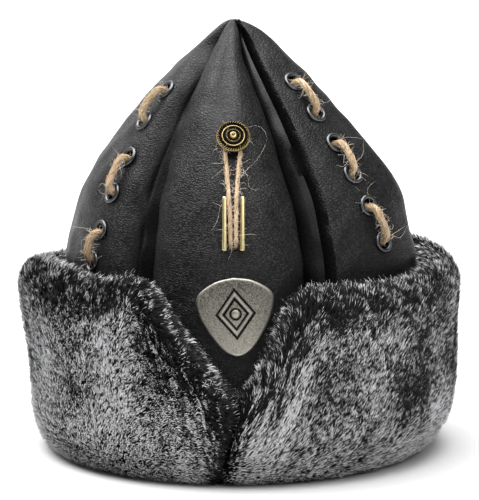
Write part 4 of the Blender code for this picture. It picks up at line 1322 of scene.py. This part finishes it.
def pile_tones(flat, share, height, from_edge, steep, gap):
    """How dark the cuff is at each strand, and the strand's tone before its tuft's and its own.

    Dark patches lie in a band under the top edge and down the left side of the notch, and the front
    seam is dark below it. The foot and the left half are painted paler and the right half darker, as
    painted light and shade, and the gaps between tufts darker.
    """
    in_front = 0.75 + 0.25 * np.cos(2 * math.pi * share)
    patches = np.clip(waves(flat, 26 * MM, 25) + 0.25, 0, 1)
    band = bell(from_edge - (12 - 9 * steep) * MM, (7.5 + 3 * steep) * MM) * 0.48 * in_front
    band += 0.24 * in_front * patches * bell(from_edge, 34 * MM, 4)
    band += 0.5 * steep * (share > 0.5) * bell(from_edge, 9 * MM)
    dark = np.clip(band * (1 + 0.35 * waves(flat, 7 * MM, 27)), 0, 0.85)
    from_seam = seam_distance(share)
    seam = np.where(share > 0.5, bell(from_seam, 9 * MM), 0.5 * bell(from_seam, 4 * MM))
    seam *= np.clip((44 * MM - height) / (12 * MM), 0, 1)
    # Painted light and shade: the foot and the left half are paler, the right half darker.
    low = np.clip(1 - height / (50 * MM), 0, 1)
    pale = 0.57 + 0.1 * waves(flat, 60 * MM, 26) + 0.32 * low - 0.13 * np.sin(2 * math.pi * share)
    pale += 0.06 * np.sin(math.pi * share) ** 2
    return dark, (pale - 0.4 * gap) * (1 - dark) * (1 - 0.95 * seam)


def ribbons(line, out, roll, width):
    """Each strand's five points: two across it at each of its first two places, and its tip.

    A ribbon lies square to the outward direction, and is then turned about its strand by its roll.
    """
    reach = line[:, 2] - line[:, 0]
    side = unit(np.cross(reach, out))
    side = side * np.cos(roll) + np.cross(unit(reach), side) * np.sin(roll)
    half = side[:, None] * (width / 2)[:, None, None] * np.array([1.0, 0.9])[:, None]
    return np.concatenate([line[:, :2] - half, line[:, :2] + half, line[:, 2:]], axis=1)


def add_strands(points, tone, material):
    """The strands in pieces round the hat: ribbons of five points, whose tones are in their map."""
    ribbon = np.array([[0, 2, 3], [0, 3, 1], [1, 3, 4]])
    across = tone[:, None] + np.array([-0.004, -0.004, 0.004, 0.004, 0.0])
    runs = np.broadcast_to(PILE_AT[[0, 1, 0, 1, 2]], across.shape)
    places = np.stack([across, runs], axis=-1)
    for number, part in enumerate(np.array_split(np.arange(len(points)), PILE_PARTS), 1):
        faces = (5 * np.arange(len(part))[:, None, None] + ribbon).reshape(-1, 3)
        thing = add_mesh(f"cuff_pile_{number}", points[part].reshape(-1, 3), [faces], material)
        set_map(thing, "OFBake", places[part].reshape(-1, 2))
        dress(thing, "frosted_fur")


# Turned fittings


def turned(profile, sides, here, axes):
    """A profile of radius and height turned round an axis, rows by sides."""
    profile = np.array(profile) * MM
    angle = np.arange(sides) * 2 * math.pi / sides
    ring = np.stack([np.cos(angle), np.sin(angle)], -1)
    return here + with_height(profile[:, :1, None] * ring, profile[:, 1:]) @ axes


def make_eyelets(side, metal):
    """One side's eyelets, each a single closed profile with a rolled lip and an inner washer."""
    rows, sides = len(EYELET_PROFILE), 40
    quads = grid_quads(rows + 1, sides, wrap=True).reshape(-1, 4) % (rows * sides)
    out = np.array([turn.out for turn in EYELET_PROFILE])
    wear_and_painted_shade = np.repeat(np.clip(0.25 + 0.55 * out, 0, 1), sides)
    for number, (place, normal) in enumerate(eyelet_places(side), 1):
        ring = turned(EYELET_PROFILE, sides, place, axes_along(normal))
        thing = add_mesh(f"eyelet_{side}_{number}_ring", ring.reshape(-1, 3), [quads], metal, 40.0)
        set_relief(thing, wear_and_painted_shade)
        dress(thing, "gunmetal", f"eyelet_{side}_{number}")


# Cords


def cord_frames(points, aside):
    """A path's tangent at each point, and two directions across it, the first near the one given."""
    tangent = unit(np.gradient(points, axis=-2))
    first = unit(aside - (aside * tangent).sum(-1, keepdims=True) * tangent)
    return tangent, first, np.cross(tangent, first)


def spokes(first, second, sides):
    """The directions round a path at each point, from the two across it, and their angles."""
    angle = np.arange(sides) * 2 * math.pi / sides
    ways = np.cos(angle)[:, None] * first[..., None, :] + np.sin(angle)[:, None] * second[..., None, :]
    return ways, angle


def twisted_cord(name, points, aside, radius, pitch, plies, material, around=20):
    """A round twist of plies: its radius is cut by grooves that turn with the distance along it."""
    _, first, second = cord_frames(points, aside)
    ways, angle = spokes(first, second, around)
    along = distances(points)[:, None]
    crest = np.abs(np.cos(plies / 2 * (angle - 2 * math.pi * along / pitch))) ** 0.75
    bumps = np.stack([along / (4 * MM) + 0 * angle, 0 * along + 1.5 * np.sin(angle)], axis=-1)
    reach = radius * (0.82 + 0.12 * crest + 0.05 * waves(bumps, 1.0, 31))
    reach = reach * np.clip(np.minimum(along, along[-1] - along) / radius + 0.25, 0, 1) ** 0.5
    skin = points[:, None] + reach[..., None] * ways
    thing = add_mesh(name, skin.reshape(-1, 3), tube_faces(len(points), around), material)
    # Crests take the lighter jute and grooves the darker: painted shade in the grooves.
    set_relief(thing, 0.8 * crest)
    twist = np.stack([along + 0 * angle, angle / (2 * math.pi) - along / pitch], axis=-1)
    set_map(thing, "twist", twist.reshape(-1, 2))
    return thing


def lace_points(side):
    """The lace's route: out of one eyelet, over to the next, in, and inside to the one after."""
    places = eyelet_places(side)
    route = []
    for number, (place, normal) in enumerate(places):
        outside_first = number % 2 == 1
        last = number in (0, len(places) - 1)
        partner, partner_normal = places[number - 1 if outside_first else number + 1]
        outside = lace_bend(place, normal, partner, LACE_OUTSIDE)
        if last:
            inside = lace_bend(place, normal, partner, LACE_TAIL)
        else:
            inner_partner = places[number + 1 if outside_first else number - 1][0]
            inside = lace_bend(place, normal, inner_partner, LACE_INSIDE)
            if outside_first:
                inside.append((place + inner_partner) / 2 - normal * LACE_INSIDE_DEPTH)
        if outside_first:
            route += outside[::-1] + inside
        else:
            arch = (place + partner) / 2 + (normal + partner_normal) / 2 * LACE_ARCH
            route += inside[::-1] + outside + [arch]
    return route


def lace_bend(place, normal, toward, profile):
    """Points beside an eyelet's axis, out along its normal and aside toward another eyelet."""
    side = unit(toward - place - normal * ((toward - place) @ normal))
    return [place + side * turn.radius * MM + normal * turn.out * MM for turn in profile]


def laid_fibres(points, aside, radius, pitch, count, rng):
    """Fibres along the twist: pieces of a helix just proud of the cord, whose two ends lift off it."""
    _, first, second = cord_frames(points, aside)
    along = distances(points)
    length = rng.uniform(5 * MM, 16 * MM, (count, 1))
    t = np.linspace(0, 1, FIBRE_ROWS)
    place = rng.uniform(0, 1, (count, 1)) * (along[-1] - length) + length * t
    middle, one, two = (sample(along, values, place) for values in (points, first, second))
    drift = rng.normal(0, 0.5, (count, 1)) * t + rng.normal(0, 0.18, (count, FIBRE_ROWS))
    angle = (rng.uniform(0, 2 * math.pi, (count, 1)) + 2 * math.pi * place / pitch + drift)[..., None]
    lift = rng.exponential(0.16, (count, 2, 1))
    ends = lift[:, 0] * (1 - t) ** 5 + lift[:, 1] * t**5
    reach = radius * (rng.uniform(0.86, 1.06, (count, 1)) + ends)
    return middle + reach[..., None] * (np.cos(angle) * one + np.sin(angle) * two)


def stray_fibres(points, aside, radius, count, rng):
    """Fibres that leave the cord outward, lean along it and curl.

    Each is a straight run plus two sine bends across it, which grow toward its free end.
    """
    tangent, first, second = cord_frames(points, aside)
    at = rng.integers(2, len(points) - 2, count)
    angle = rng.uniform(0, 2 * math.pi, (count, 1))
    out = first[at] * np.cos(angle) + second[at] * np.sin(angle)
    way = unit(out + rng.normal(0, 1.0, (count, 1)) * tangent[at])
    bend = unit(np.cross(way, rng.normal(size=(count, 3))))
    other = np.cross(way, bend)
    t = np.linspace(0, 1, FIBRE_ROWS)[None, :, None]
    size = rng.gamma(1.8, STRAY_LENGTH / 1.8, (count, 1, 1))
    size = np.clip(size, STRAY_SHORTEST, STRAY_LONGEST)
    curl = rng.normal(0, 0.36, (2, count, 1, 1))
    speed = rng.uniform(0.5, 1.6, (2, count, 1, 1))
    bends = [amount * t * np.sin(turn * math.pi * t) for amount, turn in zip(curl, speed)]
    curve = 0.9 * t * way[:, None] + bends[0] * bend[:, None] + bends[1] * other[:, None]
    return (points[at] + out * radius * 0.8)[:, None] + size * curve


def long_hair(places):
    """A long loose fibre: a smooth curve through places on the front gore, as two lines end to end."""
    curve = smooth_path([front_place(*(MM * part for part in place)) for place in places], 0.5 * MM)
    along = distances(curve)
    whole = sample(along, curve, np.linspace(0, along[-1], 2 * FIBRE_ROWS - 1))
    return np.stack([whole[:FIBRE_ROWS], whole[FIBRE_ROWS - 1 :]])


def add_fibres(name, points, aside, radius, pitch, settings, share, seed, material, long_hairs=()):
    """A cord's fibres, part of them laid along it and part standing off, paler and thinner."""
    rng = np.random.default_rng(seed)
    laid = laid_fibres(points, aside, radius, pitch, int(share * settings.fibres), rng)
    stray = stray_fibres(points, aside, radius, int(share * settings.strays), rng)
    lines = np.concatenate([laid, stray, *long_hairs])
    loose = len(lines) - len(laid)
    thick = [rng.uniform(0.10, 0.19, len(laid)), rng.uniform(0.04, 0.075, loose)]
    tone = [rng.uniform(0.25, 1.25, len(laid)), rng.uniform(1.55, 2.0, loose)]
    fibre_tubes(name, lines, np.concatenate(thick) * MM, np.concatenate(tone), material)


def fibre_tubes(name, lines, thick, tone, material):
    """Many lines as three-sided tubes of tapering radius, each with a tone and a place in the map."""
    count, rows = lines.shape[:2]
    aside = unit(np.cross(lines[:, -1] - lines[:, 0], [0.31, 0.87, 0.38]))[:, None]
    _, first, second = cord_frames(lines, aside)
    ways, _ = spokes(first, second, 3)
    skin = lines[:, :, None] + (thick[:, None] * FIBRE_TAPER)[..., None, None] * ways
    quads, ends = tube_faces(rows, 3)
    start = 3 * rows * np.arange(count)[:, None, None]
    faces = [(start + quads).reshape(-1, 4), (start + ends).reshape(-1, 3)]
    thing = add_mesh(name, skin.reshape(-1, 3), faces, material)
    set_relief(thing, np.repeat(tone, 3 * rows))
    run = np.broadcast_to(np.linspace(0, 0.01, rows)[None, :, None], (count, rows, 3))
    own = np.broadcast_to(np.arange(count)[:, None, None] * 0.37, (count, rows, 3))
    set_map(thing, "twist", np.stack([run, own], axis=-1).reshape(-1, 2))
    dress(thing, "jute")


def make_laces(side, jute, settings):
    """A lace of loosely spun jute through one side's eyelets, with its fibres."""
    places = eyelet_places(side)
    points = smooth_path(lace_points(side), 0.6 * MM)
    row = unit(places[0][0] - places[-1][0])
    aside = unit(np.cross(np.mean([normal for _, normal in places], axis=0), row))
    radius, pitch = settings.lace, settings.pitch
    lace = twisted_cord(f"lace_{side}_twine", points, aside, radius, pitch, 3, jute)
    dress(lace, "jute", f"lace_{side}")
    seed = {"left": 41, "right": 42}[side]
    add_fibres(f"lace_{side}_fibres", points, aside, radius, pitch, settings, 1.0, seed, jute)


def make_button_loop(jute, settings):
    """The doubled cord: up one strand, round the button's shank and down the other."""
    one_side = [(row.centre - row.aside, row.height, row.out) for row in BUTTON_LOOP]
    other_side = [(row.centre + row.aside, row.height, row.out) for row in BUTTON_LOOP[-2::-1]]
    plan = np.array(one_side + other_side) * MM
    route = smooth_path([front_place(*row) for row in plan], 0.45 * MM)
    heading = unit(np.gradient(route, axis=0))
    _, axes = front_frame(*BUTTON_PLACE)
    flat = heading - (heading @ axes[2])[:, None] * axes[2]
    aside = unit(np.cross(axes[2], unit(flat)))
    radius, pitch = settings.loop, 0.6 * settings.pitch
    loop = twisted_cord("button_loop_twine", route, aside, radius, pitch, 2, jute, 16)
    dress(loop, "jute", "button_loop")
    hairs = [long_hair(places) for places in LOOP_HAIRS]
    add_fibres("button_loop_fibres", route, aside, radius, pitch, settings, 0.7, 43, jute, hairs)


# Button, toggle and badge


def make_button(metal):
    """The button: rings by radius, with a rope round the rim and beads on the inner ring, on its shank.

    The height of the cap is a smooth curve of the radius plus two waves round it: slanted ones on the
    rim and upright ones on the inner ring, each faded out away from its ring.
    """
    here, axes = front_frame(*BUTTON_PLACE)
    rings = np.array(BUTTON_RINGS)
    radius = np.concatenate([np.linspace(0.001, 8.57, 76), [8.6]])
    base = np.interp(radius, rings[:, 0], rings[:, 1])
    base[1:-2] = (base[:-3] + 2 * base[1:-2] + base[2:-1]) / 4
    a = (np.arange(BUTTON_SIDES) * 2 * math.pi / BUTTON_SIDES)[None]
    r = radius[:, None]
    rope = bell(r - ROPE_RADIUS, 0.68, 4) * np.cos(ROPE_TWISTS * a + 3.6 * (r - ROPE_RADIUS))
    beads = bell(r - BEADS_RADIUS, 0.42, 4) * np.cos(BEADS * a)
    height = base[:, None] + 0.42 * rope + 0.2 * beads
    cap = np.stack([r * np.cos(a), r * np.sin(a), height], axis=-1) * MM
    shank = np.array(BUTTON_SHANK[1:])
    shank[-1, 0] = 0.001
    r, out = shank[:, :1], shank[:, 1:]
    back = np.stack([r * np.cos(a), r * np.sin(a), out + 0 * a], axis=-1) * MM
    local = np.concatenate([cap, back])
    points, faces = (here + local @ axes).reshape(-1, 3), tube_faces(*local.shape[:2], turned_over=True)
    thing = add_mesh("button_cap", points, faces, metal, 50.0)
    hollow = np.interp(radius, *np.array(BUTTON_HOLLOWS).T)
    wear_and_painted_shade = np.clip((height - hollow[:, None]) / 0.34, 0, 1)
    set_relief(thing, np.concatenate([wear_and_painted_shade.ravel(), np.full(len(shank) * BUTTON_SIDES, 0.3)]))
    dress(thing, "antique_brass", "button")


def rod(radius, length, rounding, sides=28):
    """A rod along its second axis with rounded rims, as points and quads with two end faces."""
    corner = np.linspace(0, math.pi / 2, 5)
    out, along = radius - rounding * (1 - np.sin(corner)), length / 2 - rounding * (1 - np.cos(corner))
    out = np.concatenate([out, out[::-1]])[:, None]
    along = np.concatenate([along, -along[::-1]])[:, None]
    angle = np.arange(sides) * 2 * math.pi / sides
    points = np.stack([out * np.cos(angle), along + 0 * angle, out * np.sin(angle)], axis=-1)
    return points.reshape(-1, 3), *tube_faces(len(out), sides)


def make_toggle(metal):
    """Two upright rods with rounded rims and painted shade down their sides, soldered to a thin cross
    rod.
    """
    here, axes = front_frame(*TOGGLE_PLACE)
    out = BAR_RADIUS + BAR_CLEARANCE
    bar, quads, ends = rod(BAR_RADIUS, BAR_LENGTH, BAR_ROUNDING)
    cross, cross_quads, cross_ends = rod(CROSS_RADIUS, BAR_SPACING, 0.1 * MM)
    cross = cross[:, [1, 0, 2]] * [1, -1, 1] + [0, CROSS_ABOVE_MIDDLE, CROSS_OUT]
    count = len(bar)
    local = np.concatenate([bar + [-BAR_SPACING / 2, 0, out], bar + [BAR_SPACING / 2, 0, out], cross])
    faces = [
        np.concatenate([quads, quads + count, cross_quads + 2 * count]),
        np.concatenate([ends, ends + count, cross_ends + 2 * count]),
    ]
    thing = add_mesh("toggle_bars", here + local @ axes, faces, metal, 40.0)
    # Painted shade: each bar's front keeps the pale brass and its sides and back take the tarnish
    # colour; the cross rod takes the tarnish all over.
    painted_front_light = (local[:, 2] - out) / BAR_RADIUS
    set_relief(thing, np.where(np.arange(len(local)) < 2 * count, 0.12 + 1.0 * painted_front_light, 0.0))
    dress(thing, "brass", "toggle")


def badge_outline(count):
    """The plate's outline at even spacing, from the top round the right side and back up the left."""
    half = np.array(BADGE_HALF) * MM
    ring = np.vstack([half, half[-2:0:-1] * [-1, 1]])
    closed = smooth_path(np.vstack([ring, ring[:1]]), 0.4 * MM)
    along = distances(closed)
    return sample(along, closed, np.linspace(0, along[-1], count, endpoint=False))


def make_badge(metal):
    """The badge: a shield plate with rounded edges, a raised lozenge outline and a boss in its middle.

    Its face is a height over rings that shrink the outline to its middle. The lozenge stands where the
    sum of the two distances from its centre, each as a share of its half size, is near one.
    """
    outline = badge_outline(220)
    quarter = np.linspace(0, 1, 8) * math.pi / 2
    inner = np.linspace(1 - BADGE_RIM, 0, 88)[1:-1]
    share = np.concatenate([1 - BADGE_RIM * (1 - np.cos(quarter)), inner])
    flat = share[:, None, None] * outline
    rim = np.clip((1 - share) / BADGE_RIM, 0, 1)[:, None]
    height = BADGE_EDGE + BADGE_RISE * np.sqrt(1 - (1 - rim) ** 2)
    x, y = flat[..., 0], flat[..., 1] - LOZENGE_CENTRE
    diamond = np.abs(x) / LOZENGE_HALF_WIDTH + np.abs(y) / LOZENGE_HALF_HEIGHT
    off_line = np.abs(diamond - 0.86) / 0.115
    stroke = np.clip(1.6 - 1.25 * off_line, 0, 1)
    stroke = stroke**2 * (3 - 2 * stroke)
    from_boss = np.hypot(x, y) / BOSS_RADIUS
    boss = np.sqrt(np.clip(1 - from_boss**2.6, 0, 1))
    raised = np.maximum(stroke, boss)
    groove = np.clip(bell(off_line - 1.75, 0.5) + bell(from_boss - 1.22, 0.16), 0, 1)
    height = height + LOZENGE_RISE * raised - LOZENGE_GROOVE * groove
    foot = with_height(np.stack([outline * 0.985, outline]), np.array([[0.0], [0.25 * MM]]))
    plate = np.concatenate([foot, with_height(flat, height)])
    plate[..., 2] -= plate[..., 0] ** 2 / (2 * BADGE_BEND_RADIUS)
    quads, ends = tube_faces(*plate.shape[:2], turned_over=True)
    post, post_quads, post_ends = rod(POST_RADIUS, POST_LENGTH, 0.1 * MM, 16)
    post = post[:, [0, 2, 1]] * [1, -1, 1] + [0, 0, 0.3 * MM - POST_LENGTH / 2]
    points = np.concatenate([plate.reshape(-1, 3), post])
    c, s = math.cos(BADGE_TURN), math.sin(BADGE_TURN)
    here, axes = front_frame(*BADGE_PLACE)
    points = points @ np.array([[c, s, 0], [-s, c, 0], [0, 0, 1]]) + [0, 0, BADGE_CLEARANCE]
    start = plate[..., 0].size
    faces = [np.concatenate([quads, post_quads + start]), ends, post_ends + start]
    thing = add_mesh("badge_plate", here + points @ axes, faces, metal, 50.0)
    bright_rim = 0.35 * bell(1 - share[:, None], 0.05)
    # Painted shade: the plate darkens toward its top and lightens toward its foot.
    wear_and_painted_shade = 0.5 + bright_rim + 0.22 * raised - 0.7 * groove - 9.0 * flat[..., 1]
    plain = [np.full(foot[..., 0].size, 0.3), wear_and_painted_shade.ravel(), np.full(len(post), 0.3)]
    set_relief(thing, np.concatenate(plain))
    dress(thing, "antique_silver", "badge")


# Stage


def add_lamp(name, way, strength, degrees):
    """A far lamp that lights the whole floor evenly, with its way, its strength and its width."""
    data = bpy.data.lights.new(name, "SUN")
    data.energy = strength
    data.angle = math.radians(degrees)
    add_thing(name, data).rotation_euler = Vector(way).to_track_quat("Z", "Y").to_euler()


def add_camera(settings):
    """The camera at the photo's angle, with a long lens that takes in the whole hat."""
    aim = Vector((*HAT_PLACE[:2], settings.aim))
    e, a = settings.elevation, settings.turn
    back = Vector((math.sin(a) * math.cos(e), -math.cos(a) * math.cos(e), math.sin(e)))
    data = bpy.data.cameras.new("camera")
    data.sensor_fit = "VERTICAL"
    data.sensor_height = 24.0
    data.lens = 135.84
    data.clip_end = 50.0
    camera = add_thing("camera", data)
    camera.location = aim + back * settings.distance
    camera.rotation_euler = (-back).to_track_quat("-Z", "Y").to_euler()
    bpy.context.scene.camera = camera


def add_floor(settings):
    """A wide pale sheet of matt paper, with a faint tooth about 3 mm wide."""
    half = 9.0
    corners = np.array([[-half, -half, 0], [half, -half, 0], [half, half, 0], [-half, half, 0]])
    material, tree, shader = start_material("matt_studio_paper", Roughness=0.9, Specular_IOR_Level=0.15)
    place = add_node(tree, "TexCoord").outputs["Object"]
    tooth = add_node(tree, "TexNoise", {"Vector": place, "Scale": 1 / (3 * MM), "Detail": 2.0})
    tones = {0: tooth, 6: rgba(settings.floor, 0.985), 7: rgba(settings.floor)}
    feed(tree, shader, {"Base Color": add_node(tree, "Mix", tones, data_type="RGBA").outputs[2]})
    add_mesh("studio_floor", corners - HAT_PLACE, [np.arange(4)[None]], material)


def make_stage(settings):
    """The floor, the camera, three softboxes, a lit backdrop and a little even light."""
    add_floor(settings)
    add_camera(settings)
    add_lamp("overhead_softbox", (-0.1, -0.02, 1.0), settings.overhead, 64.0)
    add_lamp("key_softbox", (-0.6, 0.3, 0.74), settings.key, 34.0)
    add_lamp("fill_softbox", (0.45, -0.6, 0.66), settings.fill, 50.0)
    add_lamp("backdrop", (-0.12, 1.0, 0.32), settings.backdrop, 60.0)
    world = bpy.data.worlds.new("studio_air")
    world.use_nodes = True
    air = {"Color": (1.0, 1.0, 1.0, 1.0), "Strength": settings.air}
    feed(world.node_tree, world.node_tree.nodes["Background"], air)
    bpy.context.scene.world = world
    bpy.context.scene.view_settings.view_transform = "Standard"


# Add-on


def hat_settings(context):
    """The hat's settings in the scene."""
    return context.scene.bork_hat


class HAT_OT_stage(bpy.types.Operator):
    """Makes the floor, the lights and the camera."""

    bl_idname = "hat.make_stage"
    bl_label = "Stage"

    def execute(self, context):
        make_stage(hat_settings(context).stage)
        return {"FINISHED"}


class HAT_OT_crown(bpy.types.Operator):
    """Makes the four leather gores of the crown."""

    bl_idname = "hat.make_crown"
    bl_label = "Crown"

    def execute(self, context):
        leather = leather_material(hat_settings(context).leather)
        for name in LOBES:
            make_gore(name, leather)
        return {"FINISHED"}


class HAT_OT_cuff(bpy.types.Operator):
    """Makes the fur cuff and its leather facing."""

    bl_idname = "hat.make_cuff"
    bl_label = "Cuff"

    def execute(self, context):
        leather = bpy.data.materials.get("black_grained_leather")
        if leather is None:
            raise RuntimeError("make the crown first, whose leather the facing shares")
        make_cuff(leather, hat_settings(context).fur)
        return {"FINISHED"}


class HAT_OT_eyelets(bpy.types.Operator):
    """Makes the twelve eyelets."""

    bl_idname = "hat.make_eyelets"
    bl_label = "Eyelets"

    def execute(self, context):
        metal = hat_settings(context).metal
        gunmetal = metal_material("gunmetal_plated_steel", metal.gunmetal, metal.tarnish_and_shade)
        for side in EYELETS:
            make_eyelets(side, gunmetal)
        return {"FINISHED"}


class HAT_OT_cords(bpy.types.Operator):
    """Makes the two laces and the button's loop, with their loose fibres."""

    bl_idname = "hat.make_cords"
    bl_label = "Laces and loop"

    def execute(self, context):
        cord = hat_settings(context).cord
        jute = jute_material(cord)
        for side in EYELETS:
            make_laces(side, jute, cord)
        make_button_loop(jute, cord)
        return {"FINISHED"}


class HAT_OT_fittings(bpy.types.Operator):
    """Makes the button, the toggle and the badge."""

    bl_idname = "hat.make_fittings"
    bl_label = "Button, toggle and badge"

    def execute(self, context):
        metal = hat_settings(context).metal
        make_button(metal_material("antique_brass", metal.bronze, metal.tarnish_and_shade))
        make_toggle(metal_material("drawn_brass", metal.brass, metal.tarnish_and_shade))
        make_badge(metal_material("antique_silver", metal.silver, metal.tarnish_and_shade))
        return {"FINISHED"}


class HAT_PT_panel(bpy.types.Panel):
    """Lists the hat's pieces and the sizes and colours that go into them."""

    bl_idname = "HAT_PT_panel"
    bl_label = "Bork hat"
    bl_space_type = "VIEW_3D"
    bl_region_type = "UI"
    bl_category = "Bork hat"

    def draw(self, context):
        settings = hat_settings(context)
        for maker, group in PANEL_ROWS:
            box = self.layout.box()
            box.operator(maker.bl_idname)
            if group:
                values = getattr(settings, group)
                for name in values.__annotations__:
                    box.prop(values, name)


MAKERS = [HAT_OT_stage, HAT_OT_crown, HAT_OT_cuff, HAT_OT_eyelets, HAT_OT_cords, HAT_OT_fittings]
PANEL_ROWS = list(zip(MAKERS, ["stage", "leather", "fur", "metal", "cord", None]))
SETTINGS = [LeatherSettings, FurSettings, CordSettings, MetalSettings, StageSettings, HatSettings]


def register():
    """Adds the settings, the operators and the panel to Blender."""
    for kind in [*SETTINGS, *MAKERS, HAT_PT_panel]:
        bpy.utils.register_class(kind)
    bpy.types.Scene.bork_hat = PointerProperty(type=HatSettings)


def unregister():
    """Takes them out again."""
    del bpy.types.Scene.bork_hat
    for kind in [HAT_PT_panel, *reversed(MAKERS), *reversed(SETTINGS)]:
        bpy.utils.unregister_class(kind)


def main():
    """Makes the whole hat and its stage."""
    register()
    bpy.ops.hat.make_stage()
    bpy.ops.hat.make_crown()
    bpy.ops.hat.make_cuff()
    bpy.ops.hat.make_eyelets()
    bpy.ops.hat.make_cords()
    bpy.ops.hat.make_fittings()


if __name__ == "__main__":
    main()
